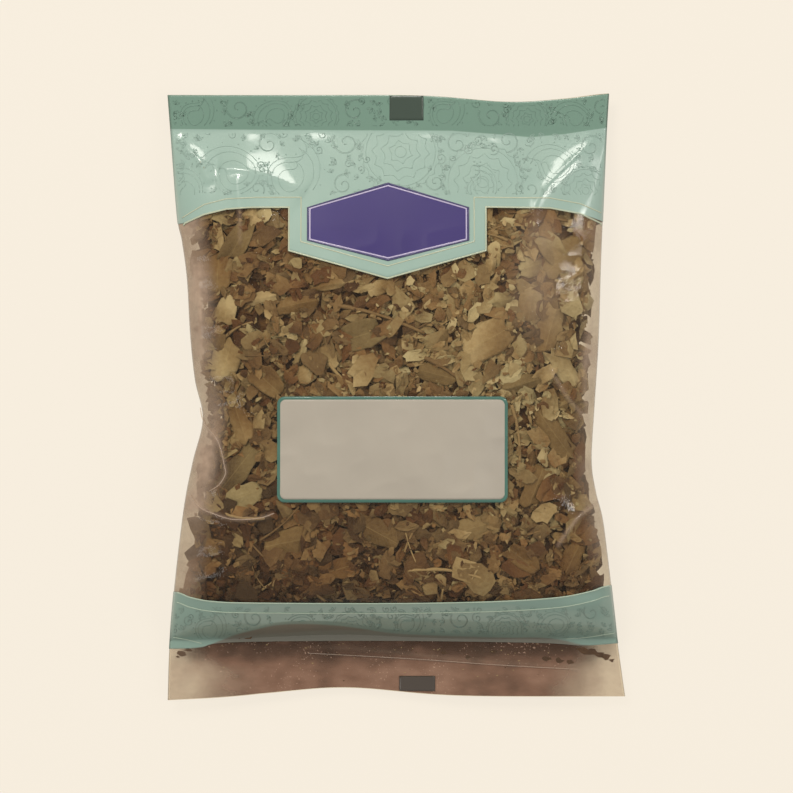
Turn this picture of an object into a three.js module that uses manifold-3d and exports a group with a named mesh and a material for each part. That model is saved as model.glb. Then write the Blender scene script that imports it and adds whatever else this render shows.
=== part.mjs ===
// A sealed clear pillow bag of dried, broken curry leaves, lying on its back.
// Units are millimetres. +Z is up, +X is the bag's right side and +Y its top seal.
// The origin is on the surface the bag lies on, under the middle of its outline.
import * as THREE from 'three';
import { mergeVertices } from 'three/addons/utils/BufferGeometryUtils.js';
import Module from 'manifold-3d';

const wasm = await Module();
wasm.setup();

// Driving dimensions of the bag
const LENGTH = 219;            // over both end seals
const WIDTH = 165;             // of the flat film tube, as seen at the bottom seal
const THICKNESS = 38;          // of the filled belly before it flattens on the surface
const FILM = 0.5;              // wall of the film
const SIDE_WALL = 1.2;         // wall beside the side folds
const TOP_SEAL = 13;           // depth of the flat sealed strip at the top
const BOTTOM_SEAL = 14;        // and at the bottom
const TOP_Z = 7;               // height of the top seal's middle plane
const BOTTOM_Z = 5;            // and of the bottom seal's
const BELLY_Z = 16;            // height of the side folds beside the belly
const TOP_RISE = 85;           // length over which the belly swells below the top seal
const BOTTOM_RISE = 34;        // and above the bottom seal
const SECTION_POWER = 2.4;     // squareness of the pillow's cross-section
const SECTION_ROUND = 0.62;    // roundness of its flanks

// Gaps and skins
const GAP = 0.3;               // between pieces that touch on the real bag
const PRINT = 0.4;             // thickness of a printed layer or sticker
const HOLLOW_EDGE = 0.08;      // half the gap to which a hollow narrows at its rim

// Back seam: one edge of the film laps the other inside the bag
const SEAM = { x: 5, low: -60, high: 30, slit: 0.3, lap: 12, root: 4 };
const SEAM_END = 3;            // the lap runs this far past the slit at both ends
const SEAM_BITE = 0.05;        // and sinks this far into the film it hangs from
const SEAM_ROOM = { left: 8, right: 8, ends: 4 };

// Leaf filling
const LEAF = 0.7;              // thickness of a dried leaf
const ROOM = 0.6;              // space left round each larger leaf and stalk
const CORE_INSET = 5;          // the settled mass starts this far inside the side folds
const CORE_SKIN = 3.5;         // and this far under the film
const FILL_INSET = 2.2;        // no flake reaches nearer to the side folds
const FLAKE_CLEAR = 0.9;       // flakes lie this far under the film
const LEAF_CLEAR = 0.8;        // and so do the larger leaves and the stalks
const LEAF_DEPTH = 1.6;        // a larger leaf's edges lie this far under the film
const LEAF_ARCH = 0.9;         // and its rib this much higher
const LEAF_TIP = 0.9;          // half the width left at its torn ends
const STALK_STEPS = 8;         // places that a stalk's curve is drawn through
const FLAKE_FRONT = { pitch: 15, size: 10.5, corners: 4 };
const FLAKE_BACK = { pitch: 34, size: 15, corners: 4 };
const FLAKE_TILT = 0.62;       // range of the slope of a flake
const FLAKE_BOW = 0.5;         // and the rise of its middle
const FLAKE_SIDE = 3.4;        // its corners keep this far from the side folds
const FLAKE_ENDS = { bottom: 4, top: 8 };
const FIELD = { halfWidth: 68, end: 9, depth: 9, jitter: 0.8, reach: 0.9, spare: 2 };

const SMOOTHING = 0.08;        // slivers finer than this are taken out of the filling
const WELD = 2e-3;             // and points closer than this are joined

// Grid of the film's surface
const ROWS = 24;
const COLUMNS = 16;
const ROW_EASE = 0.55;         // how much closer the rows lie towards the seals
const EDGE_SHARE = 0.995;      // heights are looked up no nearer to the side folds

// Printed outlines run out past the bag's edges and are cut through its whole height
const PAST_SIDE = 90;
const PAST_TOP = 120;
const CUT_HEIGHT = 90;

const topEdge = LENGTH / 2;
const bottomEdge = -LENGTH / 2;
const topInner = topEdge - TOP_SEAL;
const bottomInner = bottomEdge + BOTTOM_SEAL;

// Side outlines, seen from above: x at a height y, from the bottom seal to the top
const LEFT_SIDE = [
  [bottomEdge, -WIDTH / 2], [-88, -81], [-60, -78.4], [-30, -74.6],
  [-8, -69], [15, -72], [50, -75.4], [90, -80.2], [topEdge, -82.2],
];
const RIGHT_SIDE = [
  [bottomEdge, WIDTH / 2], [-88, 79.4], [-60, 76], [-38, 73.2],
  [-20, 70.2], [10, 72.6], [50, 73.8], [90, 75.4], [topEdge, 76.4],
];

function clamp(value, low, high) {
  return Math.min(high, Math.max(low, value));
}

function seeded(seed) {
  let state = seed >>> 0;
  return () => {
    state = (state * 1664525 + 1013904223) >>> 0;
    return state / 4294967296;
  };
}

// A smooth curve through [y, x] points, looked up by y
function outline(points) {
  const curve = new THREE.SplineCurve(points.map(([y, x]) => new THREE.Vector2(x, y)));
  const samples = curve.getPoints(240);
  return (y) => {
    const after = samples.findIndex((p) => p.y >= y);
    if (after === 0) {
      return samples[0].x;
    }
    if (after < 0) {
      return samples[samples.length - 1].x;
    }
    const a = samples[after - 1];
    const b = samples[after];
    return a.x + ((b.x - a.x) * (y - a.y)) / (b.y - a.y);
  };
}

const leftAt = outline(LEFT_SIDE);
const rightAt = outline(RIGHT_SIDE);

// How full the bag is at a height y, from 0 at the seals to 1 at the belly
function fullness(y) {
  const rise = (distance, length, power) =>
    1 - Math.pow(1 - clamp(distance / length, 0, 1), power);
  return rise(topInner - y, TOP_RISE, 1.9) * rise(y - bottomInner, BOTTOM_RISE, 2.2);
}

// Middle plane of the bag, which waves a little along both end seals
function middleZ(x, y) {
  const end = y > 0 ? TOP_Z : BOTTOM_Z;
  const wave = y > 0 ? Math.sin(x / 24 + 0.6) : 1.4 * Math.sin(x / 19 - 0.8);
  const full = fullness(y);
  return end + (BELLY_Z - end) * full + wave * (1 - full);
}

// End edges wave along Y as well: u runs from -1 at the left side to 1 at the right
function edgeShift(u, y) {
  const top = -1.5 * Math.exp(-(((u - 0.62) / 0.25) ** 2));
  const bottom = 3.1 * Math.exp(-(((u + 0.24) / 0.33) ** 2)) + 1.3 * clamp((u + 1) / 0.4, 0, 1);
  return top * clamp((y - 60) / 49, 0, 1) + bottom * clamp((-y - 70) / 39, 0, 1);
}

// Point of the front (side 1) or back (side -1) surface, moved in by an inset
function skinPoint(u, y, side, inset) {
  const left = leftAt(y) + inset;
  const right = rightAt(y) - inset;
  const x = (left + right) / 2 + (u * (right - left)) / 2;
  const swell = fullness(y) * Math.pow(1 - Math.abs(u) ** SECTION_POWER, SECTION_ROUND);
  const half = Math.max(FILM, (THICKNESS / 2) * swell);
  const z = Math.max(0, middleZ(x, y) + side * half);
  return [x, y + edgeShift(u, y), z];
}

// Rows are closer where the bag swells fast, and columns near the side folds
function stations(low, high, rows) {
  const list = [];
  for (let j = 0; j <= rows; j++) {
    const t = j / rows;
    const ease = (Math.sin(2 * Math.PI * t) / (2 * Math.PI)) * ROW_EASE;
    list.push(low + (high - low) * (t - ease));
  }
  return list;
}

function columnsOf(count) {
  const list = [];
  for (let i = 0; i <= count; i++) {
    list.push(Math.sin(((i / count) * 2 - 1) * (Math.PI / 2)));
  }
  return list;
}

// A closed solid between two grids of points with the same rows and columns
function slab(upper, lower) {
  const rows = upper.length;
  const columns = upper[0].length;
  const vertices = [...upper.flat(), ...lower.flat()];
  const last = columns - 1;
  const at = (layer, j, i) => layer * rows * columns + j * columns + i;
  const faces = [];
  const quad = (a, b, c, d) => faces.push(a, b, c, a, c, d);
  for (let j = 0; j < rows - 1; j++) {
    for (let i = 0; i < columns - 1; i++) {
      quad(at(0, j, i), at(0, j, i + 1), at(0, j + 1, i + 1), at(0, j + 1, i));
      quad(at(1, j, i), at(1, j + 1, i), at(1, j + 1, i + 1), at(1, j, i + 1));
    }
    quad(at(0, j, 0), at(0, j + 1, 0), at(1, j + 1, 0), at(1, j, 0));
    quad(at(0, j, last), at(1, j, last), at(1, j + 1, last), at(0, j + 1, last));
  }
  for (let i = 0; i < columns - 1; i++) {
    quad(at(0, 0, i), at(1, 0, i), at(1, 0, i + 1), at(0, 0, i + 1));
    quad(at(0, rows - 1, i), at(0, rows - 1, i + 1), at(1, rows - 1, i + 1), at(1, rows - 1, i));
  }
  const geometry = new THREE.BufferGeometry();
  geometry.setAttribute('position', new THREE.Float32BufferAttribute(vertices.flat(), 3));
  geometry.setIndex(faces);
  return geometry;
}

function toSolid(geometry, weld = 1e-4) {
  const bare = geometry.clone();
  for (const name of Object.keys(bare.attributes)) {
    if (name !== 'position') {
      bare.deleteAttribute(name);
    }
  }
  const merged = mergeVertices(bare, weld);
  return new wasm.Manifold(
    new wasm.Mesh({
      numProp: 3,
      vertProperties: merged.attributes.position.array,
      triVerts: new Uint32Array(merged.index.array),
    }),
  );
}

function toGeometry(solid) {
  const mesh = solid.getMesh();
  const geometry = new THREE.BufferGeometry();
  geometry.setAttribute('position', new THREE.BufferAttribute(mesh.vertProperties, 3));
  geometry.setIndex(new THREE.BufferAttribute(mesh.triVerts, 1));
  return geometry;
}

// The largest body of a solid, with its sealed hollows filled
function largest(solid) {
  return solid.decompose().sort((a, b) => b.volume() - a.volume())[0];
}

function boxSolid(low, high) {
  const size = high.map((value, i) => value - low[i]);
  const box = new THREE.BoxGeometry(...size);
  box.translate(...low.map((value, i) => value + size[i] / 2));
  return toSolid(box);
}

// The film's front and back surfaces, as grids of points
function filmGrids() {
  const rows = stations(bottomEdge, topEdge, ROWS);
  rows.push(topInner, bottomInner);
  rows.sort((a, b) => a - b);
  const columns = columnsOf(COLUMNS);
  const grid = (side) => rows.map((y) => columns.map((u) => skinPoint(u, y, side, 0)));
  return { front: grid(1), back: grid(-1) };
}

// The space inside the film, in from the side folds by an inset and from the film by a shrink
function insidePillow(inset, shrink) {
  const rows = stations(bottomInner + inset, topInner - inset, ROWS - 4);
  const columns = columnsOf(COLUMNS);
  const upper = [];
  const lower = [];
  for (const y of rows) {
    const line = columns.map((u) => {
      const front = skinPoint(u, y, 1, inset);
      const back = skinPoint(u, y, -1, inset);
      const middle = (front[2] + back[2]) / 2;
      const half = Math.max(HOLLOW_EDGE, (front[2] - back[2]) / 2 - shrink);
      return { front, middle, half };
    });
    upper.push(line.map(({ front, middle, half }) => [front[0], front[1], middle + half]));
    lower.push(line.map(({ front, middle, half }) => [front[0], front[1], middle - half]));
  }
  return toSolid(slab(upper, lower));
}

// The lap of the back seam, and the strip that joins it to the film
function seamFlap() {
  const left = SEAM.x - SEAM.lap / 2;
  const right = SEAM.x + SEAM.lap / 2;
  const low = SEAM.low - SEAM_END;
  const high = SEAM.high + SEAM_END;
  const flap = boxSolid([left, low, FILM + GAP], [right, high, 2 * FILM + GAP]);
  const root = boxSolid([left, low, FILM - SEAM_BITE], [left + SEAM.root, high, 2 * FILM]);
  return flap.add(root);
}

// The room that the leaves leave round the lap
function seamRoom() {
  return boxSolid(
    [SEAM.x - SEAM_ROOM.left, SEAM.low - SEAM_ROOM.ends, 0],
    [SEAM.x + SEAM_ROOM.right, SEAM.high + SEAM_ROOM.ends, 2 * FILM + 2 * GAP],
  );
}

// The film: an outer pillow, less the inside, with the slit and the lap of its back seam
function filmPouch(grids) {
  const slit = boxSolid(
    [SEAM.x, SEAM.low, -1],
    [SEAM.x + SEAM.slit, SEAM.high, FILM + GAP / 2],
  );
  return toSolid(slab(grids.front, grids.back))
    .subtract(insidePillow(SIDE_WALL, FILM))
    .subtract(slit)
    .add(seamFlap());
}

// Printed areas and the sticker: what an outline cuts from a thin layer over the film
function layer(grid, low, high) {
  const lift = (by) => grid.map((row) => row.map(([x, y, z]) => [x, y, z + by]));
  return toSolid(slab(lift(high), lift(low)));
}

// An upright prism over an outline, or over a rounded rectangle between two corners
function prism(points, radius = 0) {
  const shape = new THREE.Shape();
  if (radius === 0) {
    shape.setFromPoints(points.map(([x, y]) => new THREE.Vector2(x, y)));
  } else {
    const [[x0, y0], [x1, y1]] = points;
    shape.absarc(x1 - radius, y1 - radius, radius, 0, Math.PI / 2);
    shape.absarc(x0 + radius, y1 - radius, radius, Math.PI / 2, Math.PI);
    shape.absarc(x0 + radius, y0 + radius, radius, Math.PI, 1.5 * Math.PI);
    shape.absarc(x1 - radius, y0 + radius, radius, 1.5 * Math.PI, 2 * Math.PI);
  }
  const options = { depth: CUT_HEIGHT, bevelEnabled: false, curveSegments: 4 };
  return toSolid(new THREE.ExtrudeGeometry(shape, options));
}

// Outlines of the printed areas, the sticker and the registration marks, seen from above
const HEADER_OUTLINE = [
  [-PAST_SIDE, PAST_TOP], [-PAST_SIDE, 62], [-76, 62.5], [-69, 65.5], [-61, 67.4],
  [-38.5, 67.6], [-38.5, 52.2], [-3.2, 42.2], [32, 52.2], [32, 67.8],
  [55, 67.6], [66, 65.6], [76, 62.8], [PAST_SIDE, 62], [PAST_SIDE, PAST_TOP],
];
const FOOTER_OUTLINE = [
  [-PAST_SIDE, -71], [-79, -71.8], [-72, -74], [-64, -74.8], [40, -74.8],
  [62, -73.4], [78, -70], [PAST_SIDE, -69], [PAST_SIDE, -87],
  [50, -86], [-60, -86], [-PAST_SIDE, -89],
];
const PLAQUE = { halfWidth: 29, corner: 5.9, tip: 14, x: -3, y: 61.8 };
const LABEL = { low: [-42.5, -37.8], high: [39.6, 0], radius: 2.6 };
const TOP_MARK = { low: [-2.5, 99.8], high: [9.7, 107.6] };
const BOTTOM_MARK = { low: [1, -106], high: [13.9, -100.8] };

function plaqueOutline(grow) {
  const { halfWidth, corner, tip, x, y } = PLAQUE;
  const wide = halfWidth + grow;
  return [
    [x - wide, y - corner], [x, y - tip - grow], [x + wide, y - corner],
    [x + wide, y + corner], [x, y + tip + grow], [x - wide, y + corner],
  ];
}

function rectangle({ low, high }, grow = 0) {
  const [x0, y0] = low.map((value) => value - grow);
  const [x1, y1] = high.map((value) => value + grow);
  return [[x0, y0], [x1, y0], [x1, y1], [x0, y1]];
}

// The printed areas, the sticker and the marks, as thin pieces by name
function prints(grids) {
  const skin = layer(grids.front, GAP, GAP + PRINT);
  const plaque = prism(plaqueOutline(0));
  const topMark = prism(rectangle(TOP_MARK));
  return {
    header_print: skin
      .intersect(prism(HEADER_OUTLINE))
      .subtract(prism(plaqueOutline(GAP)))
      .subtract(prism(rectangle(TOP_MARK, GAP))),
    plaque_print: skin.intersect(plaque),
    top_eye_mark: skin.intersect(topMark),
    front_label: skin.intersect(prism([LABEL.low, LABEL.high], LABEL.radius)),
    footer_print: skin.intersect(prism(FOOTER_OUTLINE)),
    bottom_eye_mark: skin.intersect(prism(rectangle(BOTTOM_MARK))),
  };
}

// Height of the film's inner face over a place
function underFilm(x, y, side) {
  const left = leftAt(y) + SIDE_WALL;
  const right = rightAt(y) - SIDE_WALL;
  const u = clamp((2 * x - left - right) / (right - left), -EDGE_SHARE, EDGE_SHARE);
  return skinPoint(u, y, side, SIDE_WALL)[2] - side * FILM;
}

// A torn flake: a fan of corners round a raised middle, pressed flat against the film
function flake(random, x, y, side, { size, corners }) {
  const turn = random() * Math.PI * 2;
  const stretch = 0.62 + 0.3 * random();
  const tilt = [(random() - 0.5) * FLAKE_TILT, (random() - 0.5) * FLAKE_TILT];
  const sink = 1 + 2.4 * random();
  const top = [];
  const points = [[0, 0, FLAKE_BOW]];
  for (let k = 0; k < corners; k++) {
    const angle = turn + ((k + 0.5 * random()) / corners) * Math.PI * 2;
    const reach = size * (0.72 + 0.5 * random());
    const along = reach * Math.cos(angle - turn);
    const across = reach * Math.sin(angle - turn) * stretch;
    points.push([
      along * Math.cos(turn) - across * Math.sin(turn),
      along * Math.sin(turn) + across * Math.cos(turn),
      0,
    ]);
  }
  for (const [dx, dy, bow] of points) {
    const py = clamp(y + dy, bottomInner + FLAKE_ENDS.bottom, topInner - FLAKE_ENDS.top);
    const px = clamp(x + dx, leftAt(py) + FLAKE_SIDE, rightAt(py) - FLAKE_SIDE);
    const limit = underFilm(px, py, side) - side * FLAKE_CLEAR;
    const wish = underFilm(x, y, side) - side * sink + dx * tilt[0] + dy * tilt[1] + side * bow;
    top.push([px, py, side > 0 ? Math.min(limit, wish) : Math.max(limit, wish)]);
  }
  const count = points.length;
  const vertices = [...top, ...top.map(([px, py, pz]) => [px, py, pz - side * LEAF])];
  const faces = [];
  for (let k = 1; k < count; k++) {
    const next = k === count - 1 ? 1 : k + 1;
    faces.push([0, k, next], [count, count + next, count + k]);
    faces.push([k, count + k, count + next], [k, count + next, next]);
  }
  const geometry = new THREE.BufferGeometry();
  geometry.setAttribute('position', new THREE.Float32BufferAttribute(vertices.flat(), 3));
  geometry.setIndex(faces.flatMap((face) => (side > 0 ? face : [face[0], face[2], face[1]])));
  return toSolid(geometry);
}

// Flakes on a shaken grid, wherever the bag is deep enough
function flakes(random, side, plan) {
  const list = [];
  const half = (LENGTH - TOP_SEAL - BOTTOM_SEAL) / 2 - FIELD.end;
  const middle = (topInner + bottomInner) / 2;
  const reach = plan.size * FIELD.reach + FIELD.spare;
  for (let y = -half; y <= half; y += plan.pitch) {
    for (let x = -FIELD.halfWidth; x <= FIELD.halfWidth; x += plan.pitch) {
      const px = x + (random() - 0.5) * plan.pitch * FIELD.jitter;
      const py = middle + y + (random() - 0.5) * plan.pitch * FIELD.jitter;
      const depth = underFilm(px, py, 1) - underFilm(px, py, -1);
      const fits = px >= leftAt(py) + reach && px <= rightAt(py) - reach;
      if (fits && depth >= FIELD.depth) {
        list.push(flake(random, px, py, side, plan));
      }
    }
  }
  return list;
}

// A curry leaf: pointed oval, arched across its rib; grown by a margin it is the room it needs
function leafSolid({ x, y, turn, length, width }, margin = 0) {
  const rows = 5;
  const across = 4;
  const upper = [];
  const lower = [];
  for (let j = 0; j <= rows; j++) {
    const t = j / rows;
    const along = (t - 0.5) * (length + 2 * margin);
    const shape = Math.pow(Math.sin(Math.PI * (0.06 + 0.88 * t)), 0.8);
    const half = Math.max(LEAF_TIP, (width / 2) * shape) + margin;
    const rowUp = [];
    const rowDown = [];
    for (let i = 0; i <= across; i++) {
      const s = 1 - (i / across) * 2;
      const off = s * half;
      const px = x + along * Math.cos(turn) - off * Math.sin(turn);
      const py = y + along * Math.sin(turn) + off * Math.cos(turn);
      const arch = LEAF_ARCH * (1 - s * s);
      const roof = underFilm(px, py, 1) - LEAF_CLEAR;
      const wish = underFilm(x, y, 1) - LEAF_DEPTH + arch;
      const z = Math.min(roof, wish);
      rowUp.push([px, py, z + margin]);
      rowDown.push([px, py, z - LEAF - margin]);
    }
    upper.push(rowUp);
    lower.push(rowDown);
  }
  return toSolid(slab(upper, lower));
}

// A stalk: a thin twig between two places, a hexagon carried along a gentle curve
function stalkSolid({ from, to, radius, bend }, margin = 0) {
  const start = new THREE.Vector2(...from);
  const end = new THREE.Vector2(...to);
  const normal = new THREE.Vector2(start.y - end.y, end.x - start.x).normalize();
  const points = [];
  for (let k = 0; k <= STALK_STEPS; k++) {
    const t = k / STALK_STEPS;
    const place = start.clone().lerp(end, t).addScaledVector(normal, bend * Math.sin(Math.PI * t));
    const height = underFilm(place.x, place.y, 1) - LEAF_CLEAR - radius;
    points.push(new THREE.Vector3(place.x, place.y, height));
  }
  const section = new THREE.Shape();
  section.absarc(0, 0, radius + margin, 0, 2 * Math.PI);
  const options = {
    steps: 10,
    curveSegments: 3,
    extrudePath: new THREE.CatmullRomCurve3(points),
    bevelEnabled: false,
  };
  return toSolid(new THREE.ExtrudeGeometry(section, options));
}

// Larger leaves and stalks against the front: place, direction and size
const LEAVES = [
  { x: 32, y: 20, turn: 0.5, length: 21, width: 17 },
  { x: -61, y: 31, turn: 1.5, length: 12, width: 9 },
  { x: -61, y: 12.5, turn: 1.3, length: 19, width: 11 },
  { x: -57, y: -26, turn: 0.9, length: 24, width: 11 },
  { x: -56, y: -9, turn: 1.9, length: 16, width: 9 },
  { x: 55, y: 24, turn: 1.3, length: 22, width: 12 },
  { x: 60, y: 50, turn: 0.7, length: 19, width: 11 },
  { x: -57, y: 55, turn: 1.1, length: 20, width: 10 },
  { x: -36, y: 33, turn: 0.2, length: 17, width: 7 },
  { x: -6, y: -49, turn: -0.5, length: 18, width: 10 },
  { x: 27, y: -47, turn: 0.3, length: 13, width: 10 },
  { x: 57, y: -14, turn: 2.2, length: 24, width: 9 },
  { x: 50, y: -32, turn: 1.2, length: 17, width: 10 },
  { x: -39, y: -52, turn: 0.2, length: 19, width: 12 },
];
const STALKS = [
  { from: [-24, 33], to: [10, 22.5], radius: 0.8, bend: 1.5 },
  { from: [10, 14], to: [24.5, 4.5], radius: 0.9, bend: 0.6 },
  { from: [-24, 12], to: [-15, 4], radius: 0.7, bend: -1 },
  { from: [-70, -37], to: [-47, -43.5], radius: 0.8, bend: -2.5 },
  { from: [41, -3], to: [44, -24], radius: 0.7, bend: 1 },
  { from: [4, -62], to: [34, -66], radius: 0.8, bend: 2 },
];

// The settled mass with its flakes, less the room of the leaves, the stalks and the lap
function filling(leaves, stalks) {
  const random = seeded(4711);
  const mass = [
    insidePillow(CORE_INSET, CORE_SKIN),
    ...flakes(random, 1, FLAKE_FRONT),
    ...flakes(random, -1, FLAKE_BACK),
  ];
  const room = [
    ...leaves.map((leaf) => leafSolid(leaf, ROOM)),
    ...stalks.map((stalk) => stalkSolid(stalk, ROOM)),
    seamFlap().add(seamRoom()),
  ];
  const whole = wasm.Manifold.union(mass)
    .intersect(insidePillow(FILL_INSET, FILM + GAP))
    .subtract(wasm.Manifold.union(room));
  return largest(toSolid(toGeometry(largest(whole).simplify(SMOOTHING)), WELD));
}

const COLOURS = {
  film_pouch: { color: '#d9cfc4', roughness: 0.12, opacity: 0.35 },
  header_print: { color: '#9dbcaa', roughness: 0.25 },
  footer_print: { color: '#84a99a', roughness: 0.25 },
  plaque_print: { color: '#513a87', roughness: 0.25 },
  top_eye_mark: { color: '#4a5f52', roughness: 0.3 },
  bottom_eye_mark: { color: '#5a534d', roughness: 0.3 },
  front_label: { color: '#bdb7ac', roughness: 0.3 },
  leaf_fill: { color: '#836a42', roughness: 0.85 },
  leaf: { color: '#a3935f', roughness: 0.8 },
  stalk: { color: '#7a5534', roughness: 0.8 },
};

function named(name, solid) {
  const look = COLOURS[name] ?? COLOURS[name.replace(/_\d+$/, '')];
  const { opacity = 1 } = look;
  const material = new THREE.MeshStandardMaterial({
    color: look.color,
    roughness: look.roughness,
    metalness: 0,
    opacity,
    transparent: opacity < 1,
  });
  const mesh = new THREE.Mesh(toGeometry(solid), material);
  mesh.name = name;
  return mesh;
}

const number = (i) => String(i + 1).padStart(2, '0');

function bagOfLeaves() {
  const bag = new THREE.Group();
  const grids = filmGrids();
  bag.add(named('film_pouch', filmPouch(grids)));
  for (const [name, solid] of Object.entries(prints(grids))) {
    bag.add(named(name, solid));
  }
  bag.add(named('leaf_fill', filling(LEAVES, STALKS)));
  LEAVES.forEach((leaf, i) => {
    bag.add(named(`leaf_${number(i)}`, leafSolid(leaf)));
  });
  STALKS.forEach((stalk, i) => {
    bag.add(named(`stalk_${number(i)}`, stalkSolid(stalk)));
  });
  return bag;
}

export default bagOfLeaves();
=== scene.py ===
"""Dresses a sealed pillow bag of dried, broken curry leaves: film, prints, label, leaves, studio.

Lengths are in millimetres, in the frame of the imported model, and put_mesh turns them into metres.
+Y is the bag's top seal, +Z is up, and the bag lies on its back on the floor.
"""
import logging
import math
from dataclasses import dataclass
from enum import Enum
from typing import Optional, Sequence

import bpy
import numpy as np
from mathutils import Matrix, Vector


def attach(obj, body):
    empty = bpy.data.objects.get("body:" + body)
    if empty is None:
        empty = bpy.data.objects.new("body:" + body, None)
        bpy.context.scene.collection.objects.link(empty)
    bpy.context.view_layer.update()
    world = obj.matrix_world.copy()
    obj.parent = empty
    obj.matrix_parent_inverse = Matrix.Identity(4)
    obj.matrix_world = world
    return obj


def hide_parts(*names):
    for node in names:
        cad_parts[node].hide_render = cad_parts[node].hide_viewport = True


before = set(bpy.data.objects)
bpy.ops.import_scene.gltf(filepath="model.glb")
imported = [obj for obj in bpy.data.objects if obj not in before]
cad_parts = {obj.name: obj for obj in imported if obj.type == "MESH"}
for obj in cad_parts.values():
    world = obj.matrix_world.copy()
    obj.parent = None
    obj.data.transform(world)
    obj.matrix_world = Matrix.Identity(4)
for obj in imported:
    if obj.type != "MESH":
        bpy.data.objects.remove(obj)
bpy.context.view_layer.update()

MM = 0.001
BODY = "root"
LOG = logging.getLogger("leaf_bag")

Points = np.ndarray
Faces = list[np.ndarray]
Line = tuple[tuple[float, float], ...]
Stops = tuple[tuple[float, str], ...]


def srgb(code: str) -> tuple[float, float, float, float]:
    """The linear colour of a hex code such as #a3b9ab."""
    parts = np.array([int(code[k : k + 2], 16) for k in (1, 3, 5)]) / 255
    linear = np.where(parts <= 0.04045, parts / 12.92, ((parts + 0.055) / 1.055) ** 2.4)
    return (*linear.tolist(), 1.0)


def smooth_step(value: np.ndarray, low: float, high: float) -> np.ndarray:
    """0 below low, 1 above high, with the curve 3t^2 - 2t^3 between them."""
    t = np.clip((value - low) / (high - low), 0, 1)
    return t * t * (3 - 2 * t)


def spline_through(places: Sequence[tuple[float, float]], steps: int = 240) -> np.ndarray:
    """A smooth line through places.

    Each span is the cubic of Catmull and Rom's form: it passes both its ends, and its slope at an
    end is half the difference of that end's two neighbours.

    Args:
        places: the places, at least two.
        steps: how many spans the whole line is cut into.
    Returns:
        The line's points, one row each.
    """
    p = np.array(places, float)
    p = np.vstack([p[:1], p, p[-1:]])
    t = np.linspace(0, len(places) - 1, steps + 1)
    k = np.minimum(t.astype(int), len(places) - 2)
    w = (t - k)[:, None]
    a, b, c, d = p[k], p[k + 1], p[k + 2], p[k + 3]
    slope_b, slope_c = (c - a) / 2, (d - b) / 2
    cubic = (2 * b - 2 * c + slope_b + slope_c) * w**3 + (3 * c - 3 * b - 2 * slope_b - slope_c) * w**2
    return cubic + slope_b * w + b


def read_line(line: Line | np.ndarray, at: np.ndarray) -> np.ndarray:
    """The second number of a line's points, read at a value of the first."""
    points = np.asarray(line, float)
    return np.interp(at, points[:, 0], points[:, 1])


def noise(x: np.ndarray, y: np.ndarray, cell: float, seed: int) -> np.ndarray:
    """Soft hills from -1 to 1: seeded heights on a turned lattice, blended by 6t^5 - 15t^4 + 10t^3.

    Args:
        x: places along X.
        y: places along Y.
        cell: size of a lattice cell.
        seed: picks the heights.
    Returns:
        The height at each place.
    """
    size = 64
    heights = np.random.RandomState(seed).uniform(-1, 1, (size, size))
    turn = 0.4 + 1.3 * seed
    fx = (x * math.cos(turn) - y * math.sin(turn)) / cell + size / 2
    fy = (x * math.sin(turn) + y * math.cos(turn)) / cell + size / 2
    ix, iy = np.floor(fx).astype(int), np.floor(fy).astype(int)
    tx, ty = fx - ix, fy - iy
    ease = lambda t: t * t * t * (t * (6 * t - 15) + 10)
    tx, ty = ease(tx), ease(ty)
    pick = lambda i, j: heights[i % size, j % size]
    low = pick(ix, iy) * (1 - tx) + pick(ix + 1, iy) * tx
    high = pick(ix, iy + 1) * (1 - tx) + pick(ix + 1, iy + 1) * tx
    return low * (1 - ty) + high * ty


def distance_to_line(x: np.ndarray, y: np.ndarray, line: np.ndarray) -> tuple[np.ndarray, np.ndarray]:
    """Distance from places to a line of points.

    For each span the foot of the perpendicular is found and kept between the span's ends, and the
    nearest span counts.

    Args:
        x: places along X.
        y: places along Y.
        line: the line's points, one row each.
    Returns:
        The distance, and how far along the line the nearest place is, from 0 to 1.
    """
    best = np.full(x.shape, 1e9)
    along = np.zeros(x.shape)
    count = len(line) - 1
    for k in range(count):
        (ax, ay), (bx, by) = line[k], line[k + 1]
        dx, dy = bx - ax, by - ay
        t = np.clip(((x - ax) * dx + (y - ay) * dy) / (dx * dx + dy * dy), 0, 1)
        gap = np.hypot(x - ax - t * dx, y - ay - t * dy)
        nearer = gap < best
        best = np.where(nearer, gap, best)
        along = np.where(nearer, (k + t) / count, along)
    return best, along


def quads(rows: int, columns: int, ring: bool = False) -> np.ndarray:
    """Faces of a grid of rows by columns, closed across the columns where it is a ring."""
    j, i = np.meshgrid(np.arange(rows - 1), np.arange(columns if ring else columns - 1), indexing="ij")
    k = (i + 1) % columns
    corners = [j * columns + i, j * columns + k, (j + 1) * columns + k, (j + 1) * columns + i]
    return np.stack(corners, -1).reshape(-1, 4)


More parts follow.
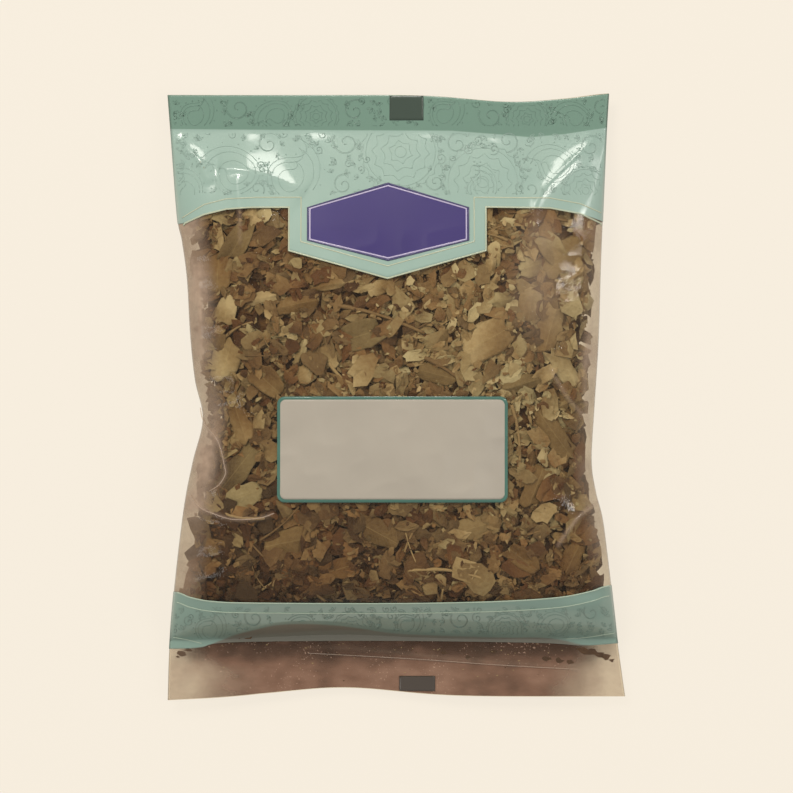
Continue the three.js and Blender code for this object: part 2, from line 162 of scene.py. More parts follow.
def closed_sheet(top: Points, bottom: Points, ring: bool = False) -> tuple[Points, Faces]:
    """A thin closed body between two grids: both faces and the wall round their edge.

    Args:
        top: grid of points, rows by columns by 3, seen from outside with X across and Y up.
        bottom: the same grid one wall thickness inside.
        ring: whether the last column joins the first.
    Returns:
        The points and the faces.
    """
    rows, columns = top.shape[:2]
    count = rows * columns
    upper = quads(rows, columns, ring)
    lower = upper[:, ::-1] + count
    index = np.arange(count).reshape(rows, columns)
    if ring:
        first = [np.stack([index[0], np.roll(index[0], -1)], 1)]
        last = [np.stack([np.roll(index[-1], -1), index[-1]], 1)]
        edges = np.vstack(first + last)
    else:
        loop = np.concatenate([index[0, :-1], index[:-1, -1], index[-1, :0:-1], index[:0:-1, 0]])
        edges = np.stack([loop, np.roll(loop, -1)], 1)
    a, b = edges[:, 0], edges[:, 1]
    wall = np.stack([b, a, a + count, b + count], 1)
    return np.vstack([top.reshape(-1, 3), bottom.reshape(-1, 3)]), [np.vstack([upper, lower, wall])]


def on_both_faces(values: np.ndarray) -> np.ndarray:
    """Numbers on a grid, for the outer and then the inner face of the closed sheet over it."""
    return np.tile(values.ravel(), 2)


def merged(parts: Sequence[tuple[Points, Faces]]) -> tuple[Points, Faces]:
    """Several bodies as one list of points and one list of faces."""
    points, faces, start = [], [], 0
    for own_points, own_faces in parts:
        points.append(own_points)
        faces.extend(each + start for each in own_faces)
        start += len(own_points)
    return np.vstack(points), faces


def put_mesh(
    name: str,
    points: Points,
    faces: Faces,
    material: bpy.types.Material,
    values: Optional[dict[str, np.ndarray]] = None,
    uv: Optional[np.ndarray] = None,
    smooth: bool = True,
) -> bpy.types.Object:
    """Makes a piece of the scene from points in millimetres.

    Args:
        name: the piece's name.
        points: the points, one row each.
        faces: groups of faces, each group with one number of corners.
        material: its finish.
        values: named numbers, one for each point, for the finish to read.
        uv: a place on the finish's own map for each point.
        smooth: whether its faces are shaded as one curved surface.
    Returns:
        The new object, which rides on the bag.
    """
    mesh = bpy.data.meshes.new(name)
    corners = np.concatenate([each.ravel() for each in faces]).astype(np.int32)
    sizes = np.concatenate([np.full(len(each), each.shape[1]) for each in faces])
    starts = np.concatenate([[0], np.cumsum(sizes)[:-1]]).astype(np.int32)
    mesh.vertices.add(len(points))
    mesh.vertices.foreach_set("co", (points * MM).astype(np.float32).ravel())
    mesh.loops.add(len(corners))
    mesh.loops.foreach_set("vertex_index", corners)
    mesh.polygons.add(len(sizes))
    mesh.polygons.foreach_set("loop_start", starts)
    mesh.update(calc_edges=True)
    mesh.polygons.foreach_set("use_smooth", np.full(len(sizes), smooth))
    for key, numbers in (values or {}).items():
        layer = mesh.attributes.new(key, "FLOAT", "POINT")
        layer.data.foreach_set("value", numbers.astype(np.float32).ravel())
    if uv is not None:
        layer = mesh.uv_layers.new(name="UVMap")
        layer.data.foreach_set("uv", uv[corners].astype(np.float32).ravel())
    mesh.materials.append(material)
    mesh.validate()
    piece = bpy.data.objects.new(name, mesh)
    bpy.context.collection.objects.link(piece)
    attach(piece, BODY)
    LOG.info("%s: %d faces", name, len(mesh.polygons))
    return piece


class Recipe:
    """A material's nodes, added one by one."""

    def __init__(self, name: str) -> None:
        """Starts an empty material."""
        self.material = bpy.data.materials.new(name)
        self.material.use_nodes = True
        self.tree = self.material.node_tree
        self.tree.nodes.clear()
        self.output = self.tree.nodes.new("ShaderNodeOutputMaterial")

    def add(self, kind: str, inputs: Optional[dict] = None, **settings: object) -> bpy.types.Node:
        """Adds a node.

        Args:
            kind: Blender's name of the node's type.
            inputs: for each input, by name or number, a constant or the socket that feeds it.
            settings: the node's own properties.
        Returns:
            The node.
        """
        node = self.tree.nodes.new(kind)
        for key, value in settings.items():
            setattr(node, key, value)
        for key, value in (inputs or {}).items():
            if isinstance(value, bpy.types.NodeSocket):
                self.tree.links.new(value, node.inputs[key])
            else:
                node.inputs[key].default_value = value
        return node

    def math(self, operation: str, *values: object) -> bpy.types.NodeSocket:
        """A sum, product or other operation on numbers or sockets."""
        node = self.add("ShaderNodeMath", dict(enumerate(values)), operation=operation)
        return node.outputs[0]

    def blend(self, share: object, low: object, high: object) -> bpy.types.NodeSocket:
        """A colour between two colours."""
        node = self.add("ShaderNodeMix", {0: share, 6: low, 7: high}, data_type="RGBA")
        return node.outputs[2]

    def speckle(
        self, scale: float, detail: float = 3.0, stretch: Sequence[float] = (1, 1, 1)
    ) -> bpy.types.NodeSocket:
        """Noise on Object coordinates; scale is in cells a metre."""
        place = self.add("ShaderNodeTexCoord").outputs["Object"]
        place = self.add("ShaderNodeMapping", {"Vector": place, "Scale": tuple(stretch)}).outputs[0]
        return self.add("ShaderNodeTexNoise", {"Vector": place, "Scale": scale, "Detail": detail}).outputs[0]

    def ramp(self, factor: object, stops: Stops) -> bpy.types.NodeSocket:
        """A row of colours read by a number from 0 to 1."""
        node = self.add("ShaderNodeValToRGB", {0: factor})
        line = node.color_ramp.elements
        while len(line) < len(stops):
            line.new(1.0)
        for element, (place, code) in zip(line, stops):
            element.position = place
            element.color = srgb(code)
        return node.outputs[0]

    def bump(self, height: object, strength: float, distance: float) -> bpy.types.NodeSocket:
        """A bumped normal; distance is in metres."""
        inputs = {"Height": height, "Strength": strength, "Distance": distance}
        return self.add("ShaderNodeBump", inputs).outputs[0]

    def finish(self, shader: bpy.types.NodeSocket) -> bpy.types.Material:
        """Links the shader to the output."""
        self.tree.links.new(shader, self.output.inputs["Surface"])
        return self.material


@dataclass(frozen=True)
class FilmFinish:
    """Clear glossy film that is hazy where it is folded or sealed, with painted highlight along its folds
    and painted sheen in a few spots.
    """

    name: str = "clear_film"
    haze_colour: str = "#9c8775"
    clear_colour: str = "#f5efe3"
    gloss: float = 0.1
    mirror: float = 0.022
    wrinkle: float = 0.25
    wrinkle_scale: float = 420.0
    wrinkle_height: float = 0.0004
    rim_mirror: float = 0.7

    def make(self) -> bpy.types.Material:
        """The film's material; the haze attribute says how much of it is veil, painted highlight and painted
        sheen included.
        """
        kit = Recipe(self.name)
        haze_and_painted_highlight = kit.add("ShaderNodeAttribute", attribute_name="haze_and_painted_highlight").outputs["Fac"]
        fine = kit.speckle(self.wrinkle_scale, 4.0)
        normal = kit.bump(fine, self.wrinkle, self.wrinkle_height)
        share = kit.math("MULTIPLY", haze_and_painted_highlight, kit.math("ADD", 0.6, kit.math("MULTIPLY", fine, 0.8)))
        clear = kit.add("ShaderNodeBsdfTransparent", {"Color": srgb(self.clear_colour)}).outputs[0]
        veil = kit.add("ShaderNodeBsdfDiffuse", {"Color": srgb(self.haze_colour)}).outputs[0]
        body = kit.add("ShaderNodeMixShader", {0: share, 1: clear, 2: veil}).outputs[0]
        shine = kit.add("ShaderNodeBsdfGlossy", {"Roughness": self.gloss, "Normal": normal}).outputs[0]
        slant = kit.add("ShaderNodeLayerWeight", {"Blend": 0.5, "Normal": normal}).outputs["Facing"]
        rim = kit.math("MULTIPLY", kit.math("POWER", slant, 4.0), self.rim_mirror)
        mirror = kit.math("ADD", rim, self.mirror)
        return kit.finish(kit.add("ShaderNodeMixShader", {0: mirror, 1: body, 2: shine}).outputs[0])


@dataclass(frozen=True)
class InkFinish:
    """An opaque printed ink under a glossy clear film."""

    name: str
    colour: str
    deep: str
    # The second tone: on the header the seal strip's own tone, on the footer painted shade and reflection
    # where the film turns under.
    second_tone: str = ""
    roughness: float = 0.42
    gloss: float = 0.09

    def make(self) -> bpy.types.Material:
        """The ink's material; the seal attribute picks its second, darker tone: the sealed strip's own tone
        on the header, and on the footer a painted shade and painted reflection where the film turns under.
        """
        kit = Recipe(self.name)
        cloud = kit.speckle(60.0, 5.0)
        colour = kit.blend(cloud, srgb(self.colour), srgb(self.deep))
        if self.second_tone:
            seal = kit.add("ShaderNodeAttribute", attribute_name="seal").outputs["Fac"]
            colour = kit.blend(seal, colour, srgb(self.second_tone))
        grain = kit.speckle(900.0, 2.0)
        inputs = {
            "Base Color": colour,
            "Roughness": self.roughness,
            "Coat Weight": 0.8,
            "Coat Roughness": self.gloss,
            "Normal": kit.bump(grain, 0.12, 0.0002),
        }
        return kit.finish(kit.add("ShaderNodeBsdfPrincipled", inputs).outputs[0])


@dataclass(frozen=True)
class PaperFinish:
    """The label's smooth paper, a little cloudy, with a fine tooth."""

    colour: str = "#9c9589"
    cloud: str = "#8e877c"

    def make(self) -> bpy.types.Material:
        """The label's material."""
        kit = Recipe("label_paper")
        colour = kit.blend(kit.speckle(45.0, 4.0), srgb(self.colour), srgb(self.cloud))
        fibre = kit.speckle(2600.0, 3.0)
        inputs = {
            "Base Color": colour,
            "Roughness": 0.5,
            "Coat Weight": 0.35,
            "Coat Roughness": 0.2,
            "Normal": kit.bump(fibre, 0.2, 0.0001),
        }
        return kit.finish(kit.add("ShaderNodeBsdfPrincipled", inputs).outputs[0])


@dataclass(frozen=True)
class LeafFinish:
    """Dried leaf: matt, mottled, each piece with its own tone from the tone attribute."""

    name: str
    stops: Stops
    veined: bool = False
    roughness: float = 0.72
    mottling: float = 0.34
    vein_colour: str = "#a8986d"
    vein_strength: float = 0.22
    vein_count: float = 62.0
    vein_lean: float = 0.55

    def make(self) -> bpy.types.Material:
        """The leaf's material; veins follow the leaf's own map where it has them."""
        kit = Recipe(self.name)
        tone = kit.add("ShaderNodeAttribute", attribute_name="tone").outputs["Fac"]
        mottle = kit.speckle(700.0, 5.0)
        uneven = kit.math("MULTIPLY", kit.math("SUBTRACT", mottle, 0.5), self.mottling)
        shifted = kit.math("ADD", tone, uneven)
        hue = kit.add("ShaderNodeAttribute", attribute_name="hue").outputs["Fac"]
        inputs = {
            "Hue": kit.math("ADD", 0.49, kit.math("MULTIPLY", hue, 0.026)),
            "Saturation": kit.math("SUBTRACT", 1.07, kit.math("MULTIPLY", hue, 0.2)),
            "Color": kit.ramp(shifted, self.stops),
        }
        colour = kit.add("ShaderNodeHueSaturation", inputs).outputs[0]
        height = mottle
        if self.veined:
            line = self.veins(kit)
            share = kit.math("MULTIPLY", line, self.vein_strength)
            colour = kit.blend(share, colour, srgb(self.vein_colour))
            height = kit.math("ADD", mottle, line)
        inputs = {
            "Base Color": colour,
            "Roughness": self.roughness,
            "Normal": kit.bump(height, 0.55, 0.0006),
        }
        return kit.finish(kit.add("ShaderNodeBsdfPrincipled", inputs).outputs[0])

    def veins(self, kit: Recipe) -> bpy.types.NodeSocket:
        """A line along the rib and slanted lines off it, as 1 on a vein and 0 between."""
        place = kit.add("ShaderNodeUVMap", uv_map="UVMap").outputs[0]
        parts = kit.add("ShaderNodeSeparateXYZ", {0: place})
        side = kit.math("ABSOLUTE", kit.math("SUBTRACT", parts.outputs[1], 0.5))
        rib = kit.math("LESS_THAN", side, 0.014)
        slant = kit.math("SUBTRACT", parts.outputs[0], kit.math("MULTIPLY", side, self.vein_lean))
        wave = kit.math("SINE", kit.math("MULTIPLY", slant, self.vein_count))
        fine = kit.math("MULTIPLY", kit.math("GREATER_THAN", wave, 0.95), 0.4)
        return kit.math("MAXIMUM", rib, fine)


@dataclass(frozen=True)
class DustFinish:
    """Leaf dust held between the two films of the bottom fin, darker just under the belly, where it lies
    thick and where shade is painted in.
    """

    stops: Stops = ((0.0, "#35241a"), (0.35, "#5a443c"), (0.7, "#886b61"), (1.0, "#a0847b"))
    speck: str = "#c4aba3"
    speck_limit: float = 0.885
    patchiness: float = 0.2

    def make(self) -> bpy.types.Material:
        """The dust's material; cover says how thick it lies, and tone how light it is."""
        kit = Recipe("leaf_dust")
        cover = kit.add("ShaderNodeAttribute", attribute_name="cover").outputs["Fac"]
        tone = kit.add("ShaderNodeAttribute", attribute_name="tone").outputs["Fac"]
        cloud = kit.math("SUBTRACT", kit.speckle(260.0, 6.0, (0.5, 1, 1)), 0.5)
        grain = kit.math("ADD", kit.speckle(1500.0, 2.0), kit.math("MULTIPLY", kit.speckle(70.0), 0.35))
        colour = kit.ramp(kit.math("ADD", tone, kit.math("MULTIPLY", cloud, 0.5)), self.stops)
        bright = kit.math("MULTIPLY", kit.math("GREATER_THAN", grain, self.speck_limit), 0.75)
        colour = kit.blend(bright, colour, srgb(self.speck))
        share = kit.math("ADD", cover, kit.math("MULTIPLY", cloud, self.patchiness))
        solid = kit.add("ShaderNodeBsdfDiffuse", {"Color": colour, "Roughness": 1.0}).outputs[0]
        gap = kit.add("ShaderNodeBsdfTransparent").outputs[0]
        limited = kit.math("MAXIMUM", kit.math("MINIMUM", share, 1.0), 0.0)
        return kit.finish(kit.add("ShaderNodeMixShader", {0: limited, 1: gap, 2: solid}).outputs[0])


@dataclass(frozen=True)
class FloorFinish:
    """A plain cream floor, lit softly from within so that it stays pale."""

    colour: str = "#f7eedf"
    glow: float = 0.9
    matt: float = 0.07

    def make(self) -> bpy.types.Material:
        """The floor's material."""
        kit = Recipe("cream_floor")
        shade = tuple(self.matt * part for part in srgb(self.colour)[:3])
        glow = kit.add("ShaderNodeEmission", {"Color": srgb(self.colour), "Strength": self.glow}).outputs[0]
        matt = kit.add("ShaderNodeBsdfDiffuse", {"Color": (*shade, 1.0)}).outputs[0]
        return kit.finish(kit.add("ShaderNodeAddShader", {0: glow, 1: matt}).outputs[0])


@dataclass(frozen=True)
class Crease:
    """A fold in the front film: where it runs, how high and wide, how hazy along its line, the film's
    whitening and a painted highlight, and how wide its pale edge, a strip of painted highlight.
    """

    places: Line
    height: float
    width: float
    haze_and_painted_highlight: float = 0.35
    edge: float = 0.0

    def line(self, spans: int = 8) -> np.ndarray:
        """The fold's line as a smooth curve."""
        return spline_through(self.places, spans * (len(self.places) - 1))


FOOTER_FOLD = (
    (-90, -92), (-70.6, -90.4), (-58, -85.7), (-49, -83.2), (-42, -81.8), (-31, -81.5), (-19, -82.4),
    (-2, -85.0), (9, -85.7), (26, -86.3), (40, -86.6), (51, -86.6), (59, -87.6), (68, -89.8), (90, -92),
)
ARC_FOLD = (
    (-70.4, -4), (-69.2, -9), (-63.8, -16.2), (-61.4, -25.2), (-61.2, -27.9), (-63.4, -31.5), (-67, -34),
)
LOW_FOLD = ((-74.2, -35.1), (-70.6, -39.6), (-64.3, -42.3), (-58, -43.9), (-49, -43.4), (-43.6, -41.6))
CREASES = (
    Crease(((-80.5, 94.8), (-75, 90), (-70.6, 85.3), (-67, 77)), 1.7, 2.6, 0.08),
    Crease(((-64, 82.5), (-56, 82), (-47, 80), (-40, 77), (-33, 73)), 1.8, 4.0, 0.0),
    # This fold's haze paints a soft pale highlight streak down the film.
    Crease(((-57, 80), (-56.3, 68), (-56, 54)), 0.9, 3.0, 0.24),
    Crease(((75, 96), (69, 90.5), (62.3, 84.6), (51.5, 72.4), (49.5, 60)), 2.1, 3.0, 0.08),
    Crease(FOOTER_FOLD[1:-1], 1.0, 2.0, 0.0),
    Crease(ARC_FOLD, 1.6, 3.0, 0.3, 0.36),
    Crease(LOW_FOLD, 1.2, 2.2, 0.3, 0.38),
    Crease(((74, -37), (66.2, -42.1), (60.8, -48.6), (57.2, -54)), 1.5, 2.6, 0.45),
    Crease(((70.5, 30), (67.5, 12), (68.2, -6), (70, -18)), 1.0, 3.0, 0.2),
    Crease(((-74, 52), (-71, 36), (-70, 16), (-70.5, 4)), 1.0, 3.0, 0.2),
    Crease(((-32, -92.6), (8, -94.8), (35.6, -96.7), (66, -98.4)), 0.35, 1.0, 0.12, 0.28),
    Crease(((55, 10), (61, 0), (69, -9)), 0.8, 2.4, 0.3),
)


@dataclass
class Pouch:
    """The film's form: one tube, sealed flat at both ends and swollen by the leaves.

    A place on it is a pair: ring, which goes once round the tube, from 0 at the left fold over the
    front to 0.5 at the right fold and back under the bag to 1, and y, the height up the bag.
    """

    length: float = 219.0
    thickness: float = 38.0
    film_half: float = 0.25
    top_seal: float = 13.0
    top_z: float = 7.0
    bottom_z: float = 5.0
    belly_z: float = 16.0
    top_rise: float = 85.0
    bottom_rise: float = 31.0
    fin: float = 21.5
    section_power: float = 2.4
    section_round: float = 0.62
    end_square: float = 4.5
    straight: float = 45.6
    straight_share: float = 0.6
    front_spans: int = 220
    back_spans: int = 110
    rows: int = 286
    left_side: Line = (
        (-109.5, -82.5), (-88, -81.7), (-60, -78.9), (-38, -76.1), (-23, -73.1), (-8, -69.6),
        (6, -72.4), (22, -74.1), (42, -75.3), (56, -77.2), (64, -78.8), (90, -80.9), (109.5, -82.4),
    )
    right_side: Line = (
        (-109.5, 82.5), (-88, 79.6), (-60, 76.2), (-44, 74.1), (-34, 71.6), (-23, 70.1),
        (-4, 71.1), (20, 72.6), (50, 73.6), (90, 75.4), (109.5, 76.5),
    )
    top_sag: float = 0.8
    top_dip: tuple[float, float, float] = (2.5, 0.57, 0.28)
    top_wave_from: float = 60.0
    bottom_arch: tuple[float, float, float] = (3.1, -0.24, 0.33)
    bottom_rise_left: float = 1.3
    bottom_wave_from: float = 70.0
    lump_heights: tuple[float, float] = (0.8, 0.32)
    ridge_height: float = 0.42
    pleat_heights: tuple[float, float] = (0.6, 0.7)
    pucker_height: float = 0.35
    back_lump_height: float = 0.35
    clear_haze: float = 0.012
    back_haze: float = 0.06
    fin_haze: float = 0.06
    side_haze: tuple[float, float] = (0.6, 0.3)
    most_haze: float = 0.85
    # Pale spots on the front film, each x, y, width, height and share: painted sheen where the film catches
    # the light.
    painted_sheen: tuple[tuple[float, float, float, float, float], ...] = (
        (-67, -24, 4, 9, 0.32), (51, 39, 9, 17, 0.27), (52, 59, 6, 7, 0.2),
        (-70, 37, 4, 5, 0.3), (70, 14, 3.5, 6, 0.4), (-70, -38, 5, 6, 0.25),
    )
    creases: tuple[Crease, ...] = CREASES

    def __post_init__(self) -> None:
        """Draws the side lines and the creases once."""
        self.left_line = spline_through(self.left_side)
        self.right_line = spline_through(self.right_side)
        self.crease_lines = [crease.line() for crease in self.creases]

    @property
    def top(self) -> float:
        """Height of the top edge."""
        return self.length / 2

    @property
    def top_inner(self) -> float:
        """Height of the top seal's lower line."""
        return self.top - self.top_seal

    def sides(self, y: np.ndarray) -> tuple[np.ndarray, np.ndarray]:
        """X of the left and right folds at a height y."""
        return read_line(self.left_line, y), read_line(self.right_line, y)

    def fullness(self, y: np.ndarray) -> np.ndarray:
        """How full the bag is at a height: 0 in the flat ends, rising as 1 - (1 - t)^p to 1."""
        rise = lambda gap, reach, power: 1 - (1 - np.clip(gap / reach, 0, 1)) ** power
        above = rise(self.top_inner - y, self.top_rise, 1.9)
        return above * rise(y + self.top - self.fin, self.bottom_rise, 2.5)

    def shift(self, u: np.ndarray, y: np.ndarray) -> np.ndarray:
        """How far the wavy end edges move up or down.

        The top edge sags off its right corner and dips once, and the bottom edge arches once and
        rises off its left corner. Both waves fade in between their reach and the edge.

        Args:
            u: how far each place lies between the side folds, from -1 to 1.
            y: the heights.
        Returns:
            The move at each place.
        """
        hill = lambda height, at, wide: height * np.exp(-(((u - at) / wide) ** 2))
        top = -self.top_sag * (1 - smooth_step(u, 0.8, 1)) - hill(*self.top_dip)
        bottom = hill(*self.bottom_arch) + self.bottom_rise_left * np.clip((u + 1) / 0.4, 0, 1)
        near_top = np.clip((y - self.top_wave_from) / 49, 0, 1)
        near_bottom = np.clip((-y - self.bottom_wave_from) / 39, 0, 1)
        return top * near_top + bottom * near_bottom

    def share_of(self, x: np.ndarray, y: np.ndarray) -> np.ndarray:
        """Where x lies between the folds, from -1 at the left one to 1 at the right one."""
        left, right = self.sides(y)
        return np.clip((2 * x - left - right) / (right - left), -1, 1)

    def crease_fields(self, x: np.ndarray, y: np.ndarray) -> tuple[np.ndarray, np.ndarray]:
        """Height and haze of all folds: a tent across each fold's line that fades at both ends, and a narrow
        pale line along it, the film's whitening and a painted highlight.
        """
        height, haze_and_painted_highlight = np.zeros(x.shape), np.zeros(x.shape)
        for crease, line in zip(self.creases, self.crease_lines):
            gap, along = distance_to_line(x, y, line)
            ends = np.sqrt(np.clip(4 * along * (1 - along), 0, 1))
            height += crease.height * ends * np.exp(-gap / crease.width)
            haze_and_painted_highlight += crease.haze_and_painted_highlight * ends * np.exp(-((gap / 0.75) ** 2))
        return height, haze_and_painted_highlight

    def relief(self, x: np.ndarray, y: np.ndarray, u: np.ndarray) -> np.ndarray:
        """How far the front film stands proud of the smooth pillow.

        The sum of soft lumps over the leaves, sharper small ridges, pleats that fade away from
        each seal, puckers along the side folds, and the folds in the film.
        """
        belly = self.fullness(y)
        printed = smooth_step(y, 50, 70)
        large, small = self.lump_heights
        lumps = large * noise(x, y, 27, 3) + small * noise(x, y, 11, 5) * (1 - 0.85 * printed)
        ridges = self.ridge_height * (1 - np.abs(noise(x, y, 8.5, 8))) * (1 - 0.95 * printed)
        below_top = self.top_inner - y
        top_pleats = np.sin(x / 4.6 + 2 * noise(x, y, 40, 11)) * np.exp(-np.abs(below_top) / 11)
        above_fin = y + self.top - self.fin
        low_pleats = np.sin(x / 3.3 + 3 * noise(x, y, 30, 12)) * np.exp(-np.abs(above_fin) / 7)
        off_top = 1 - np.exp(-np.clip(below_top, 0, None) / 4)
        inside = off_top * (1 - np.exp(-np.clip(above_fin, 0, None) / 3))
        puckers = np.sin(y / 2.6 + 4 * noise(x, y, 25, 14)) * smooth_step(np.abs(u), 0.72, 0.9)
        folds, _ = self.crease_fields(x, y)
        at_top, at_fin = self.pleat_heights
        raised = belly * (lumps + ridges) + inside * (at_top * top_pleats + at_fin * low_pleats)
        raised = raised + self.pucker_height * puckers * belly + folds * np.clip(belly * 4, 0.3, 1)
        return raised * self.fade(u)

    def fade(self, u: np.ndarray) -> np.ndarray:
        """1 over the front, falling to 0 in the side folds, so that both films meet there."""
        return 1 - smooth_step(np.abs(u), 0.93, 0.998)

    def skin(self, x: np.ndarray, y: np.ndarray, side: np.ndarray, inset: float = 0.0) -> Points:
        """Points of the front film, side 1, or the back film, side -1.

        The middle plane rises from each seal to the belly, with a small wave along the seals. The
        film stands off it by half the thickness times fullness times (1 - |u|^p)^q, with p larger
        and so the section squarer near the seals, plus the relief on the front, and never below
        the floor.

        Args:
            x: places along X.
            y: places along Y, before the end edges wave.
            side: 1 for the front, -1 for the back.
            inset: how far inside the film the points lie.
        Returns:
            The points, with their last axis X, Y, Z.
        """
        u = self.share_of(x, y)
        full = self.fullness(y)
        end = np.where(y > 0, self.top_z, self.bottom_z)
        wave = np.where(y > 0, np.sin(x / 24 + 0.6), 1.4 * np.sin(x / 19 - 0.8))
        middle = end + (self.belly_z - end) * full + wave * (1 - full)
        power = self.section_power + self.end_square * (1 - full)
        swell = full * (1 - np.abs(u) ** power) ** self.section_round
        half = np.sqrt(self.film_half**2 + (self.thickness / 2 * swell) ** 2)
        front = np.maximum(half + self.relief(x, y, u), self.film_half)
        back = half + self.back_lump_height * noise(x, y, 12, 21) * full * self.fade(u)
        stand = np.where(side > 0, front, np.maximum(back, self.film_half)) - inset
        z = np.maximum(middle + side * stand, inset)
        return np.stack([x, y + self.shift(u, y), z], -1)

    def across(self, ring: np.ndarray, y: np.ndarray) -> tuple[np.ndarray, np.ndarray]:
        """X and side of a ring place.

        Over the middle of the bag a ring place keeps its X at every height, and nearer the folds
        it moves with them.
        """
        turned = np.mod(ring, 1.0)
        side = np.where(turned <= 0.5, 1.0, -1.0)
        p = np.where(turned <= 0.5, 4 * turned - 1, 3 - 4 * turned)
        left, right = self.sides(y)
        edge = np.where(p < 0, -left, right)
        outer = (np.abs(p) - self.straight_share) / (1 - self.straight_share)
        x = np.where(
            np.abs(p) <= self.straight_share,
            p * self.straight / self.straight_share,
            np.sign(p) * (self.straight + outer * (edge - self.straight)),
        )
        return x, side

    def ring_of(self, x: np.ndarray) -> np.ndarray:
        """The ring place of an X on the straight middle of the front."""
        return (x * self.straight_share / self.straight + 1) / 4

    def on_ring(self, ring: np.ndarray, y: np.ndarray) -> Points:
        """Points of the outer surface at ring places."""
        x, side = self.across(ring, y)
        return self.skin(x, y, side)

    def outward(self, ring: np.ndarray, y: np.ndarray) -> Points:
        """Unit normals: the cross product of small steps round the tube and up it."""
        step, lift = 0.002, 0.5
        round_it = self.on_ring(ring + step, y) - self.on_ring(ring - step, y)
        up_it = self.on_ring(ring, y + lift) - self.on_ring(ring, y - lift)
        cross = np.cross(round_it, up_it)
        return cross / np.maximum(np.linalg.norm(cross, axis=-1, keepdims=True), 1e-9)

    def before_shift(self, x: np.ndarray, y: np.ndarray) -> np.ndarray:
        """The height that the waved edges carry to a given height, found in three steps."""
        plain = y
        for _ in range(3):
            plain = y - self.shift(self.share_of(x, plain), plain)
        return plain

    def height(self, x: np.ndarray, y: np.ndarray, side: float = 1.0, inset: float = 0.0) -> np.ndarray:
        """Z of the front or back film over a place."""
        return self.skin(x, self.before_shift(x, y), np.full(x.shape, side), inset)[..., 2]

    def haze_and_painted_highlight(self, x: np.ndarray, y: np.ndarray, side: np.ndarray) -> np.ndarray:
        """How veiled the film is: more in the folded sides and the fin, along each fold, where the pale line
        is whitening and painted highlight, and in a few spots of painted sheen.
        """
        u = self.share_of(x, y)
        left = self.side_haze[0] * smooth_step(-u, 0.84, 0.95)
        right = self.side_haze[1] * smooth_step(u, 0.88, 0.97)
        above_fin = 0.3 + 0.7 * smooth_step(y, -92, -78)
        sides = (left + right) * above_fin * (0.8 + 0.4 * noise(x, y, 9, 31))
        fin = self.fin_haze * (1 - smooth_step(y, -94, -87))
        spots = (
            share * np.exp(-(((x - cx) / wide) ** 2) - ((y - cy) / high) ** 2)
            for cx, cy, wide, high, share in self.painted_sheen
        )
        painted_sheen = sum(spots)
        _, folds = self.crease_fields(x, y)
        veiled = np.maximum(sides, fin)
        front = self.clear_haze + veiled + painted_sheen + folds
        return np.clip(np.where(side > 0, front, self.back_haze + veiled), 0, self.most_haze)

    def build(self, finish: FilmFinish) -> bpy.types.Object:
        """Makes the film: rings of points from the bottom edge to the top, capped at both ends."""
        spans = np.arange(self.front_spans)
        front = 0.5 * spans / self.front_spans
        back = 0.5 + 0.5 * np.arange(self.back_spans) / self.back_spans
        even = np.concatenate([front, back])
        ring = even - 0.35 * np.sin(4 * np.pi * even) / (4 * np.pi)
        y = np.linspace(-self.top, self.top, self.rows)
        rings, heights = np.meshgrid(ring, y)
        points = self.on_ring(rings, heights)
        x, side = self.across(rings, heights)
        values = {"haze_and_painted_highlight": self.haze_and_painted_highlight(x, heights, side)}
        count = len(ring)
        wall = quads(self.rows, count, ring=True)
        faces = [wall, *self.caps(0, count, True), *self.caps((self.rows - 1) * count, count, False)]
        piece = put_mesh("clear_film", points.reshape(-1, 3), faces, finish.make(), values)
        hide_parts("film_pouch")
        return piece

    def caps(self, start: int, count: int, downward: bool) -> Faces:
        """Faces that close an end: two spans of the front over one of the back.

        Args:
            start: number of the end ring's first point.
            count: points in the ring.
            downward: whether the end faces -Y.
        Returns:
            The five-cornered faces, and the four-cornered ones at both folds.
        """
        j = np.arange(1, self.back_spans - 1)
        fives = np.stack([2 * j + 2, 2 * j + 1, 2 * j, count - j, count - j - 1], 1)
        last = self.front_spans
        fours = np.array([[2, 1, 0, count - 1], [last, last - 1, last - 2, last + 1]])
        order = slice(None) if downward else slice(None, None, -1)
        return [fives[:, order] + start, fours[:, order] + start]


